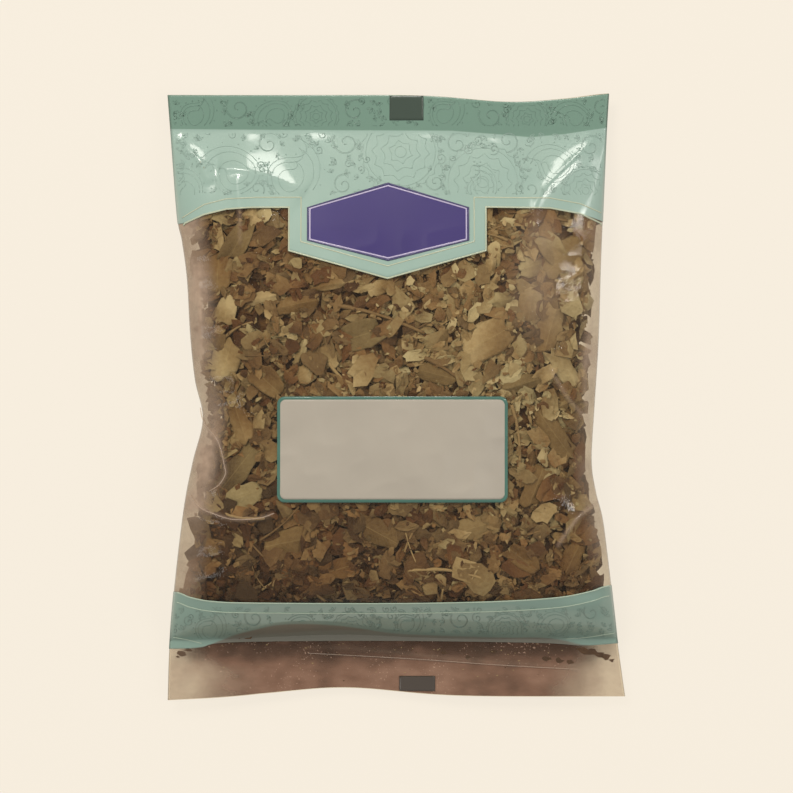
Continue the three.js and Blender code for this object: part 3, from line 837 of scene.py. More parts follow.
@dataclass
class Patch:
    """Something flat that lies on the front film, given by its lower and upper line."""

    pouch: Pouch
    lift: float
    wall: float = 0.12
    slope_step: float = 0.4

    def band(
        self, stations: np.ndarray, low: np.ndarray, high: np.ndarray, rows: int
    ) -> tuple[Points, Faces]:
        """A closed sheet over X stations, each column running from low to high.

        Args:
            stations: X of each column.
            low: lower end of each column.
            high: upper end of each column.
            rows: points in a column.
        Returns:
            The points and faces.
        """
        t = np.linspace(0, 1, rows)[:, None]
        y = low + (high - low) * t
        x = np.broadcast_to(stations, y.shape)
        return self.wrap(self.pouch.ring_of(x), y, ring=False)

    def wrap(self, ring_place: np.ndarray, y: np.ndarray, ring: bool) -> tuple[Points, Faces]:
        """A closed sheet that follows the film at a grid of ring places and heights."""
        x, _ = self.pouch.across(ring_place, y)
        plain = self.pouch.before_shift(x, y)
        base = self.pouch.on_ring(ring_place, plain)
        normal = self.pouch.outward(ring_place, plain)
        return closed_sheet(base + normal * self.lift, base + normal * (self.lift - self.wall), ring)

    def strip_sides(self, line: np.ndarray, width: float, closed: bool) -> np.ndarray:
        """The two sides of a flat strip along a line, seen from above.

        At each point of the line they stand half the width off it, along the line's own normal,
        lengthened at corners so that the strip keeps its width.

        Args:
            line: places along the middle of the strip, one row each.
            width: the strip's width.
            closed: whether the strip's ends join.
        Returns:
            Both sides, side by point by X and Y.
        """
        ahead = np.roll(line, -1, 0) - line
        behind = line - np.roll(line, 1, 0)
        if not closed:
            ahead[-1], behind[0] = behind[-1], ahead[0]
        ahead /= np.maximum(np.linalg.norm(ahead, axis=1, keepdims=True), 1e-9)
        behind /= np.maximum(np.linalg.norm(behind, axis=1, keepdims=True), 1e-9)
        mean = ahead + behind
        mean /= np.maximum(np.linalg.norm(mean, axis=1, keepdims=True), 1e-9)
        stretch = 1 / np.clip((mean * ahead).sum(1), 0.5, 1)
        normal = np.stack([-mean[:, 1], mean[:, 0]], 1) * (stretch * width / 2)[:, None]
        return np.stack([line - normal, line + normal])

    def ribbons(
        self, lines: Sequence[np.ndarray], width: float, closed: bool = False
    ) -> list[tuple[Points, Faces]]:
        """Flat strips along lines on the film, with the heights of all of them found at once.

        Args:
            lines: the middle line of each strip.
            width: the width of the strips.
            closed: whether each strip's ends join.
        Returns:
            The points and faces of each strip.
        """
        both = np.concatenate([self.strip_sides(line, width, closed) for line in lines], 1)
        x, y = both[..., 0], both[..., 1]
        z = self.pouch.height(x, y)
        step = self.slope_step
        slope_x = (self.pouch.height(x + step, y) - self.pouch.height(x - step, y)) / (2 * step)
        slope_y = (self.pouch.height(x, y + step) - self.pouch.height(x, y - step)) / (2 * step)
        steep = np.sqrt(1 + slope_x**2 + slope_y**2)
        top = np.stack([x, y, z + self.lift * steep], -1)
        bottom = np.stack([x, y, z + (self.lift - self.wall) * steep], -1)
        cuts = np.cumsum([len(line) for line in lines])[:-1]
        pairs = zip(np.split(top, cuts, 1), np.split(bottom, cuts, 1))
        return [closed_sheet(upper, under, ring=closed) for upper, under in pairs]

    def ribbon(self, line: np.ndarray, width: float, closed: bool = False) -> tuple[Points, Faces]:
        """One flat strip along a line on the film."""
        return self.ribbons([line], width, closed)[0]


def resampled(line: Sequence[tuple[float, float]], step: float, closed: bool = False) -> np.ndarray:
    """A line of straight spans with points at most a step apart, its corners kept.

    Args:
        line: the corners.
        step: the largest gap.
        closed: whether the last corner joins the first, which isn't repeated.
    Returns:
        The points, one row each.
    """
    corners = np.array(line, float)
    if closed:
        corners = np.vstack([corners, corners[:1]])
    gaps = np.linalg.norm(np.diff(corners, axis=0), axis=1)
    along = np.concatenate([[0], np.cumsum(gaps)])
    counts = np.maximum(np.ceil(gaps / step).astype(int), 1)
    spans = zip(along[:-1], along[1:], counts)
    t = np.concatenate([np.linspace(low, high, count, endpoint=False) for low, high, count in spans])
    if not closed:
        t = np.append(t, along[-1])
    return np.stack([np.interp(t, along, corners[:, 0]), np.interp(t, along, corners[:, 1])], 1)


@dataclass
class Header:
    """The printed header that goes round the bag, with the drop that frames the plaque."""

    pouch: Pouch
    border: Line = (
        (-90, 61.4), (-76, 62.2), (-69, 65.3), (-61, 67.2), (-52, 67.8), (-38.52, 67.8), (-38.5, 52.2),
        (-3.2, 42.2), (32, 52.2), (32.02, 67.9), (55, 67.6), (66, 65.6), (76, 62.2), (90, 61.4),
    )
    inner: Line = (
        (-77.0, 64.2), (-69, 68.9), (-61, 70.9), (-50, 71.4), (-34.2, 71.4), (-34.2, 55.4), (-3.2, 46.6),
        (27.8, 55.4), (27.8, 71.4), (55, 71.2), (66, 69.2), (73.6, 66.0),
    )
    seal_line: Line = (
        (-84, 96.3), (-20, 95.8), (20, 95.6), (38, 94.2), (48, 93.2), (60, 94.4), (78, 97.4),
    )
    drop_stations: tuple[float, ...] = (-38.52, -38.5, -3.2, 32.0, 32.02)
    back_border: float = 61.6
    back_seal: float = 96.0
    join: float = 68.6
    seal_step: float = 0.3
    edge_gap: float = 0.05
    front_columns: int = 181
    back_columns: int = 73
    drop_rows: int = 19
    body_rows: int = 32
    seal_rows: int = 15
    lift: float = 0.16
    line_lift: float = 0.24
    line_ends: tuple[float, float] = (-76.6, 73.6)
    line_step: float = 0.9

    def build(self) -> list[bpy.types.Object]:
        """Makes the printed band and its pale lines; above the join all columns share their rows."""
        sheet = Patch(self.pouch, self.lift)
        even = np.linspace(0, 0.5, self.front_columns)
        front = np.unique(np.concatenate([even, self.pouch.ring_of(np.array(self.drop_stations))]))
        ring = np.concatenate([front, np.linspace(0.5, 1, self.back_columns)[1:-1]])
        x_mid, side = self.pouch.across(ring, np.full(ring.shape, 62.0))
        low = np.where(side > 0, read_line(self.border, x_mid), self.back_border)
        seal = np.where(side > 0, read_line(self.seal_line, x_mid), self.back_seal)
        u = self.pouch.share_of(x_mid, np.full(ring.shape, 100.0))
        high = self.pouch.top + self.pouch.shift(u, np.full(ring.shape, self.pouch.top)) - self.edge_gap
        drop = np.linspace(0, 1, self.drop_rows + 1)[:-1, None]
        body = np.linspace(0, 1, self.body_rows)[:, None]
        strip = np.linspace(0, 1, self.seal_rows)[:, None]
        y = np.vstack([
            low + (self.join - low) * drop,
            self.join + (seal - self.join) * body,
            seal + self.seal_step + (high - seal - self.seal_step) * strip,
        ])
        in_seal = np.arange(len(y)) >= self.drop_rows + self.body_rows
        second_tone = np.broadcast_to(in_seal[:, None].astype(float), y.shape)
        points, faces = sheet.wrap(np.broadcast_to(ring, y.shape), y, ring=True)
        ink = InkFinish("header_ink", "#879c91", "#7d958c", "#5f7b6d").make()
        header = put_mesh("header_band", points, faces, ink, {"seal": on_both_faces(second_tone)})
        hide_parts("header_print")
        return [header, self.lines()]

    def lines(self) -> bpy.types.Object:
        """Makes the pale line on the border and the thinner one inside it."""
        pen = Patch(self.pouch, self.line_lift)
        first, last = self.line_ends
        inset = [(max(min(x, last), first), y) for x, y in self.border]
        edge = pen.ribbon(resampled(inset, self.line_step), 0.55)
        inner = pen.ribbon(resampled(self.inner, self.line_step), 0.4)
        points, faces = merged([edge, inner])
        ink = InkFinish("pale_line", "#a5aa92", "#9aa38d").make()
        piece = put_mesh("header_lines", points, faces, ink)
        return piece


@dataclass
class Footer:
    """The printed band at the foot of the belly, with its pale lines."""

    pouch: Pouch
    upper: Line = (
        (-90, -69.2), (-79, -70.3), (-74, -72.0), (-66, -73.4), (-50, -73.9), (0, -74.0), (35, -73.3),
        (58, -71.9), (70, -69.7), (76, -68.0), (90, -67.2),
    )
    lower: Line = (
        (-90, -91), (-79, -90.9), (-70, -90.5), (-58, -88.6), (0, -88.2), (50, -88.8), (66, -89.8),
        (79, -89), (90, -88.6),
    )
    foot_lines: tuple[Line, ...] = (
        ((-80.4, -86.8), (-75, -87.8), (-70.2, -89.0)), ((61, -87.4), (68, -86.9), (78.6, -85.2)),
    )
    lift: float = 0.16
    line_lift: float = 0.24
    inner_gap: float = 3.6
    back_heights: tuple[float, float] = (-88.6, -70.2)
    front_columns: int = 181
    back_columns: int = 73
    rows: int = 46
    # Strength of the painted shade and painted reflection where the foot turns under.
    veil: float = 0.8
    line_ends: tuple[float, float] = (-78.8, 76.4)
    line_points: int = 180

    def line_at(self, points: Line, x: np.ndarray) -> np.ndarray:
        """Height of one of the band's lines over X."""
        return read_line(spline_through(points), x)

    def build(self) -> list[bpy.types.Object]:
        """Makes the band and its lines."""
        sheet = Patch(self.pouch, self.lift)
        front = np.linspace(0, 0.5, self.front_columns)
        ring = np.concatenate([front, np.linspace(0.5, 1, self.back_columns)[1:-1]])
        x_mid, side = self.pouch.across(ring, np.full(ring.shape, -80.0))
        high = np.where(side > 0, self.line_at(self.upper, x_mid), self.back_heights[1])
        low = np.where(side > 0, self.line_at(self.lower, x_mid), self.back_heights[0])
        y = low + (high - low) * np.linspace(0, 1, self.rows)[:, None]
        points, faces = sheet.wrap(np.broadcast_to(ring, y.shape), y, ring=True)
        # Painted shade and painted reflection of the dark fin, below the line where the film turns under.
        under = smooth_step(self.line_at(FOOTER_FOLD, x_mid) - y, -0.2, 0.3) * self.veil * (side > 0)
        ink = InkFinish("footer_ink", "#768c81", "#688076", "#665c50").make()
        footer = put_mesh("footer_band", points, faces, ink, {"seal": on_both_faces(under)})
        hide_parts("footer_print")
        return [footer, self.lines()]

    def lines(self) -> bpy.types.Object:
        """Makes the pale lines: on the upper border, below it, and near both ends of the foot."""
        pen = Patch(self.pouch, self.line_lift)
        x = np.linspace(*self.line_ends, self.line_points)
        upper = self.line_at(self.upper, x)
        edge = pen.ribbon(np.stack([x, upper], 1), 0.5)
        inner = pen.ribbon(np.stack([x, upper - self.inner_gap], 1), 0.36)
        feet = [pen.ribbon(spline_through(line, 24), 0.34) for line in self.foot_lines]
        points, faces = merged([edge, inner, *feet])
        ink = InkFinish("pale_foot_line", "#9ba997", "#8fa291").make()
        piece = put_mesh("footer_lines", points, faces, ink)
        return piece


@dataclass
class Plaque:
    """The violet six-sided plaque, left bare inside its fine line."""

    pouch: Pouch
    x: float = -3.0
    y: float = 61.8
    half_width: float = 29.0
    corner: float = 5.9
    tip_up: float = 14.9
    tip_down: float = 13.4
    lift: float = 0.3
    wall: float = 0.26
    line_lift: float = 0.38
    columns: int = 79
    rows: int = 34

    def outline(self, inset: float) -> list[tuple[float, float]]:
        """The six corners, moved in by an inset."""
        wide, corner = self.half_width - inset, self.corner - 0.35 * inset
        low, high = self.y - self.tip_down + 1.05 * inset, self.y + self.tip_up - 1.05 * inset
        x, y = self.x, self.y
        return [
            (x - wide, y - corner), (x, low), (x + wide, y - corner),
            (x + wide, y + corner), (x, high), (x - wide, y + corner),
        ]

    def build(self) -> list[bpy.types.Object]:
        """Makes the violet face, its dark edge and its pale line."""
        offsets = np.linspace(-1, 1, self.columns)
        inner = 1 - np.abs(offsets)
        low = self.y - self.corner - (self.tip_down - self.corner) * inner
        high = self.y + self.corner + (self.tip_up - self.corner) * inner
        sheet = Patch(self.pouch, self.lift, self.wall)
        stations = self.x + self.half_width * offsets
        violet = InkFinish("violet_ink", "#2e2061", "#281c57").make()
        face = put_mesh("plaque_face", *sheet.band(stations, low, high, self.rows), violet)
        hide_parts("plaque_print")
        pen = Patch(self.pouch, self.line_lift)
        pale = pen.ribbon(resampled(self.outline(1.0), 0.8, closed=True), 0.5, closed=True)
        line = put_mesh("plaque_line", *pale, InkFinish("lilac_ink", "#a79eb9", "#9c93b0").make())
        dark = pen.ribbon(resampled(self.outline(0.25), 0.8, closed=True), 0.55, closed=True)
        rim = put_mesh("plaque_rim", *dark, InkFinish("deep_violet_ink", "#34325a", "#2e2c52").make())
        return [face, line, rim]


@dataclass
class Label:
    """The pale label with round corners and a green edge, left bare."""

    pouch: Pouch
    low: tuple[float, float] = (-42.5, -37.8)
    high: tuple[float, float] = (39.6, 0.0)
    radius: float = 2.6
    edge: float = 1.1
    lift: float = 0.34
    wall: float = 0.3
    face_lift: float = 0.44
    corner_points: int = 9
    columns: int = 82
    rows: int = 46

    def rounded(self, sheet: Patch, inset: float) -> tuple[Points, Faces]:
        """A rectangle whose corners are quarter circles, as columns between two lines.

        Args:
            sheet: how it lies on the film.
            inset: how far it is moved in from the label's edge.
        Returns:
            The points and faces.
        """
        x0, x1 = self.low[0] + inset, self.high[0] - inset
        y0, y1 = self.low[1] + inset, self.high[1] - inset
        radius = self.radius - 0.6 * inset
        turn = np.linspace(0, np.pi / 2, self.corner_points)
        corner = radius * (1 - np.cos(turn))
        straight = np.linspace(x0 + radius, x1 - radius, self.columns + 2)[1:-1]
        stations = np.concatenate([x0 + corner, straight, x1 - corner[::-1]])
        near = np.minimum(np.minimum(stations - x0, x1 - stations), radius)
        drop = radius - np.sqrt(np.maximum(radius**2 - (radius - near) ** 2, 0))
        return sheet.band(stations, y0 + drop, y1 - drop, self.rows)

    def build(self) -> list[bpy.types.Object]:
        """Makes the label's green ground and its pale face."""
        ground = self.rounded(Patch(self.pouch, self.lift, self.wall), 0)
        edge = put_mesh("label_edge", *ground, InkFinish("label_green", "#386155", "#31584d").make())
        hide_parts("front_label")
        inner = self.rounded(Patch(self.pouch, self.face_lift), self.edge)
        face = put_mesh("label_face", *inner, PaperFinish().make())
        return [edge, face]


@dataclass
class EyeMarks:
    """The dark registration marks on the two end seals."""

    pouch: Pouch
    top: tuple[float, float, float, float] = (-2.5, 99.5, 9.7, 108.4)
    bottom: tuple[float, float, float, float] = (1.0, -106.2, 13.9, -100.8)
    lift: float = 0.26
    wall: float = 0.2
    columns: int = 15
    rows: int = 9

    def build(self) -> list[bpy.types.Object]:
        """Makes both marks."""
        sheet = Patch(self.pouch, self.lift, self.wall)
        made = []
        for name, node, (x0, y0, x1, y1), light, deep in (
            ("top_mark", "top_eye_mark", self.top, "#2f3e34", "#29372e"),
            ("bottom_mark", "bottom_eye_mark", self.bottom, "#3d342c", "#342c26"),
        ):
            stations = np.linspace(x0, x1, self.columns)
            low, high = np.full(self.columns, y0), np.full(self.columns, y1)
            ink = InkFinish(f"{name}_ink", light, deep).make()
            piece = put_mesh(name, *sheet.band(stations, low, high, self.rows), ink)
            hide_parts(node)
            made.append(piece)
        return made


class Motif(Enum):
    """The traditional figures of the printed pattern."""

    PAISLEY = "paisley"
    ROSETTE = "rosette"
    SCROLL = "scroll"
    SPRIG = "sprig"


Spot = tuple[Motif, float, float, float, float]
HEADER_SPOTS = (
    (Motif.PAISLEY, -60, 84, 12.0, 2.2), (Motif.PAISLEY, -34, 80, 12.5, 0.5),
    (Motif.ROSETTE, 1.5, 88, 14.5, 0.2), (Motif.PAISLEY, -74, 76, 8.0, 1.2),
    (Motif.ROSETTE, 31, 77, 14.5, 0.2), (Motif.PAISLEY, 32, 77, 7.5, 1.1),
    (Motif.PAISLEY, 55, 86, 9.5, 2.3), (Motif.ROSETTE, 68, 74, 9.0, 0.4),
    (Motif.SCROLL, -46, 91, 4.8, 0.5), (Motif.SCROLL, -18, 91.5, 5.2, 2.6),
    (Motif.SCROLL, 22, 91, 4.6, 0.9), (Motif.SCROLL, 40, 92, 4.4, 4.6),
    (Motif.SCROLL, 70, 90, 4.6, 0.6), (Motif.SCROLL, -19, 76, 4.2, 1.2),
    (Motif.SCROLL, 14, 77, 3.6, 3.0), (Motif.SCROLL, 48, 74.5, 4.0, 2.0),
    (Motif.SCROLL, -50, 74.5, 3.6, 3.9),
)
SEAL_SPOTS = (
    (Motif.PAISLEY, -70, 102, 8.0, 0.5), (Motif.SCROLL, -57, 104, 5.0, 2.5),
    (Motif.PAISLEY, -46, 102, 8.0, 2.9), (Motif.ROSETTE, -29, 101, 8.5, 0.0),
    (Motif.SCROLL, -15, 103, 4.6, 0.7), (Motif.PAISLEY, 20, 102, 8.0, 0.3),
    (Motif.SCROLL, 34, 101, 4.8, 2.7), (Motif.ROSETTE, 47, 100, 8.0, 0.3),
    (Motif.PAISLEY, 63, 102.5, 7.5, 2.2), (Motif.SCROLL, 74, 104, 3.8, 0.2),
)
FOOTER_SPOTS = (
    (Motif.PAISLEY, -65, -83, 7.5, 0.6), (Motif.SCROLL, -51, -79.5, 4.0, 2.0),
    (Motif.PAISLEY, -36, -82, 6.5, 2.9), (Motif.ROSETTE, -16, -84, 7.5, 0.0),
    (Motif.PAISLEY, 6, -82, 6.5, 0.2), (Motif.SCROLL, 23, -80, 4.0, 2.6),
    (Motif.ROSETTE, 39, -84, 7.0, 0.0), (Motif.PAISLEY, 56, -80.5, 6.5, 2.5),
    (Motif.SCROLL, 70, -77.5, 4.2, 0.4),
)


@dataclass
class Ornament:
    """Faint line work on the printed bands: paisleys, rosettes, scrolls and small sprigs."""

    pouch: Pouch
    lift: float = 0.22
    wall: float = 0.04
    width: float = 0.19
    seed: int = 33
    filler_pitch: float = 4.4
    petals: tuple[float, ...] = (-0.95, 0.0, 0.95)
    side_room: float = 1.2
    edge_room: float = 0.8
    fold_room: float = 0.7
    ring_points: int = 96
    drop_points: int = 44
    dot_radius: float = 0.16
    filler_sizes: tuple[float, float] = (1.3, 2.2)
    filler_room: float = 0.85
    scroll_share: float = 0.16

    def paisley(self, size: float) -> list[np.ndarray]:
        """A drop whose tip curls over, three times nested, with a row of dots outside it.

        The drop is (cos t, sin t sin^1.6(t/2)), turned by an angle that grows with the distance
        from its round end.
        """
        t = np.linspace(0, 2 * np.pi, self.drop_points + 1)[:-1]
        x, y = np.cos(t), np.sin(t) * np.sin(t / 2) ** 1.6
        bend = 0.55 * np.clip(x + 0.4, 0, None) ** 2
        drop = np.stack([x * np.cos(bend) - y * np.sin(bend), x * np.sin(bend) + y * np.cos(bend)], 1)
        heart = np.array([-0.42, 0.0])
        nested = [((drop - heart) * share + heart) * size for share in (1.0, 0.8, 0.48)]
        ring = np.linspace(0, 2 * np.pi, 7)[:-1]
        dot = np.stack([np.cos(ring), np.sin(ring)], 1) * self.dot_radius
        return nested + [dot + ((place - heart) * 1.14 + heart) * size for place in drop[2:-1:2]]

    def rosette(self, size: float) -> list[np.ndarray]:
        """Rings, some of them scalloped into petals: r = R (1 - a |cos(n t / 2)|)."""
        t = np.linspace(0, 2 * np.pi, self.ring_points + 1)[:-1]
        circle = np.stack([np.cos(t), np.sin(t)], 1)
        rings = ((1, 0.07, 20), (0.86, 0, 1), (0.72, 0.14, 12), (0.5, 0.2, 8), (0.3, 0.25, 6), (0.14, 0, 1))
        return [
            circle * (size * share * (1 - dip * np.abs(np.cos(petals * t / 2))))[:, None]
            for share, dip, petals in rings
        ]

    def scroll(self, size: float) -> list[np.ndarray]:
        """A leafy coil: the closed band between r = R (1 - t/3pi) and a slightly smaller one."""
        t = np.linspace(0, 2.6 * np.pi, 34)
        radius = size * (1 - t / (3 * np.pi))
        out = np.stack([np.cos(t), np.sin(t)], 1) * radius[:, None]
        return [np.vstack([out, (out * 0.9)[::-1]])]

    def sprig(self, size: float) -> list[np.ndarray]:
        """Three narrow petals that fan out from one point, each a small oval loop."""
        t = np.linspace(0, 2 * np.pi, 9)[:-1]
        petal = np.stack([0.5 + 0.5 * np.cos(t), 0.17 * np.sin(t)], 1) * size
        turned = lambda a: petal @ np.array([[math.cos(a), math.sin(a)], [-math.sin(a), math.cos(a)]])
        return [turned(angle) for angle in self.petals]

    def fillers(self, spots: Sequence[Spot], limits: tuple[float, float]) -> list[Spot]:
        """Small sprigs and a few scrolls on a shaken grid, wherever the large motifs leave room.

        Args:
            spots: the large motifs, each with its place, size and turn.
            limits: the band's lower and upper height.
        Returns:
            The small motifs, in the same form.
        """
        draw = np.random.RandomState(self.seed)
        made = []
        for y in np.arange(limits[0] + 0.5, limits[1], self.filler_pitch * 0.6):
            for x in np.arange(-80, 80, self.filler_pitch):
                px, py = x + draw.uniform(-1.6, 1.6), y + draw.uniform(-0.9, 0.9)
                size, turn = draw.uniform(*self.filler_sizes), draw.uniform(0, 6)
                kind = Motif.SCROLL if draw.uniform() < self.scroll_share else Motif.SPRIG
                room = min(
                    math.hypot(px - cx, py - cy) - self.filler_room * reach for _, cx, cy, reach, _ in spots
                )
                if room > 0:
                    made.append((kind, px, py, size, turn))
        return made

    def place(self, motif: Motif, x: float, y: float, size: float, turn: float) -> list[np.ndarray]:
        """A motif's lines, turned and moved to its place."""
        drawers = {
            Motif.PAISLEY: self.paisley,
            Motif.ROSETTE: self.rosette,
            Motif.SCROLL: self.scroll,
            Motif.SPRIG: self.sprig,
        }
        drawn = drawers[motif](size)
        c, s = math.cos(turn), math.sin(turn)
        matrix = np.array([[c, s], [-s, c]])
        return [line @ matrix + [x, y] for line in drawn]

    def inside(self, places: np.ndarray, low: float, high: float) -> np.ndarray:
        """Whether each place lies on the front, between two heights, above where the foot turns under."""
        x, y = places[:, 0], places[:, 1]
        left, right = self.pouch.sides(y)
        turned_under = (y < 0) & (y < read_line(FOOTER_FOLD, x) + self.fold_room)
        end = self.pouch.top + self.pouch.shift(self.pouch.share_of(x, y), np.full(y.shape, self.pouch.top))
        between = (y > low) & (y < np.minimum(high, end - self.edge_room))
        return (x > left + self.side_room) & (x < right - self.side_room) & between & ~turned_under

    def runs(self, line: np.ndarray, inside: np.ndarray) -> list[np.ndarray]:
        """The stretches of a closed line, of three points or more, that lie inside their band.

        Args:
            line: the line's points, the last one before the first.
            inside: whether each of them is inside.
        Returns:
            The stretches.
        """
        if inside.all():
            return [np.vstack([line, line[:1]])]
        start = int(np.argmin(inside))
        turned, kept = np.roll(line, -start, 0), np.roll(inside, -start)
        pieces = np.split(turned, np.flatnonzero(np.diff(kept)) + 1)
        flags = np.split(kept, np.flatnonzero(np.diff(kept)) + 1)
        return [piece for piece, flag in zip(pieces, flags) if flag[0] and len(piece) > 2]

    def build(self) -> list[bpy.types.Object]:
        """Makes the pattern of each band."""
        pen = Patch(self.pouch, self.lift, self.wall)
        made = []
        for name, spots, limits, light, deep in (
            ("header_pattern", HEADER_SPOTS, (72.4, 95), "#82988d", "#799087"),
            ("seal_pattern", SEAL_SPOTS, (97.4, 107.6), "#5a7668", "#557164"),
            ("footer_pattern", FOOTER_SPOTS, (-87.5, -75.2), "#697f75", "#60776d"),
        ):
            motifs = [*spots, *self.fillers(spots, limits)]
            lines = [line for motif in motifs for line in self.place(*motif)]
            cuts = np.cumsum([len(line) for line in lines])[:-1]
            inside = np.split(self.inside(np.vstack(lines), *limits), cuts)
            kept = [run for line, flags in zip(lines, inside) for run in self.runs(line, flags)]
            points, faces = merged(pen.ribbons(kept, self.width))
            piece = put_mesh(name, points, faces, InkFinish(f"{name}_ink", light, deep).make())
            made.append(piece)
        return made


BROKEN_LEAF = LeafFinish(
    "broken_leaf",
    (
        (0.0, "#38240f"), (0.18, "#4f371e"), (0.36, "#624a2d"), (0.56, "#776140"), (0.77, "#8b7b59"),
        (1.0, "#a89a78"),
    ),
)
WHOLE_LEAF = LeafFinish(
    "veined_leaf",
    ((0.0, "#392611"), (0.2, "#513b20"), (0.45, "#6d5837"), (0.7, "#867553"), (1.0, "#a79a78")),
    veined=True,
)
STALK = LeafFinish("dry_stalk", ((0.0, "#47341f"), (0.5, "#715a3b"), (1.0, "#998560")))


LARGE_LEAVES = (
    (32, 20, 0.5, 19, 17, 0.74), (-61, 31, 1.5, 10, 9, 0.86), (-61, 12.5, 1.3, 15, 11, 0.78),
    (-57, -26, 0.9, 20, 11, 0.3), (-56, -9, 1.9, 15, 9, 0.5), (55, 24, 1.3, 17, 11, 0.62),
    (60, 50, 0.7, 17, 11, 0.6), (-57, 55, 1.1, 15, 9, 0.4), (-36, 33, 0.2, 15, 7, 0.45),
    (-6, -49, -0.5, 16, 10, 0.3), (27, -47, 0.3, 12, 10, 0.56), (57, -14, 2.2, 20, 9, 0.45),
    (50, -32, 1.2, 15, 10, 0.42), (-39, -52, 0.2, 16, 12, 0.4),
    (-48.6, 35, 0.2, 13, 5, 0.9), (-64, 45, 1.5, 14, 11, 0.5), (-33, 7.6, 0.6, 8, 8, 0.74),
    (-46, 5, 2.4, 13, 10, 0.4), (-34, 16, 1.3, 11, 4, 0.75), (-24, 14, 1.9, 8, 6, 0.66),
    (-23, 40, 0.15, 14, 5, 0.6), (-6.5, 39, 0.5, 8, 6, 0.7), (48, 33, 1.4, 14, 11, 0.7),
    (48, 46.5, 0.3, 9, 8, 0.78), (56, 53, 2.2, 12, 10, 0.72), (36.5, 34, 0.2, 9, 7, 0.7),
    (34, 48, 1.5, 6, 5, 0.85), (60, 10, 2.2, 17, 8, 0.84), (53, 8, 0.6, 9, 6, 0.8),
    (17.5, 13, 0.2, 7, 4, 0.95), (44, 18, 1.1, 7, 6, 0.75), (45, 4.5, 0.3, 13, 7, 0.45),
    (-12, 22, 0.3, 14, 11, 0.42), (14, 8, 2.9, 13, 8, 0.42), (-54.5, -35.5, 0.4, 15, 10, 0.68),
    (-22, -62, 0.3, 12, 8, 0.28), (45, -58, 2.5, 13, 8, 0.34), (63, -58, 1.1, 12, 8, 0.36),
)
STALK_PLAN = (
    ((-24, 33), (10, 22.5), 0.8, 1.5), ((10, 14), (24.5, 4.5), 0.9, 0.6), ((-24, 12), (-15, 4), 0.7, -1),
    ((-70, -37), (-47, -43.5), 0.8, -2.5), ((41, -3), (44, -24), 0.7, 1), ((4, -62), (34, -66), 0.8, 2),
)


@dataclass(frozen=True)
class Layer:
    """Many flakes of one kind: how many, their half lengths, form, share in front and depth."""

    name: str
    count: int
    sizes: tuple[float, float]
    rim: int
    mid: bool
    front: float
    depth: tuple[float, float]
    seed: int


LAYERS = (
    Layer("flakes_deep", 2200, (2.6, 8.5), 7, True, 0.72, (1.8, 5.0), 1),
    Layer("flakes_upper", 2450, (2.0, 7.2), 7, True, 0.74, (0.7, 2.8), 2),
    Layer("shards", 300, (5.0, 9.0), 11, True, 0.8, (0.5, 1.7), 4),
    Layer("crumbs", 4300, (0.7, 2.4), 5, False, 0.8, (0.5, 2.6), 3),
)


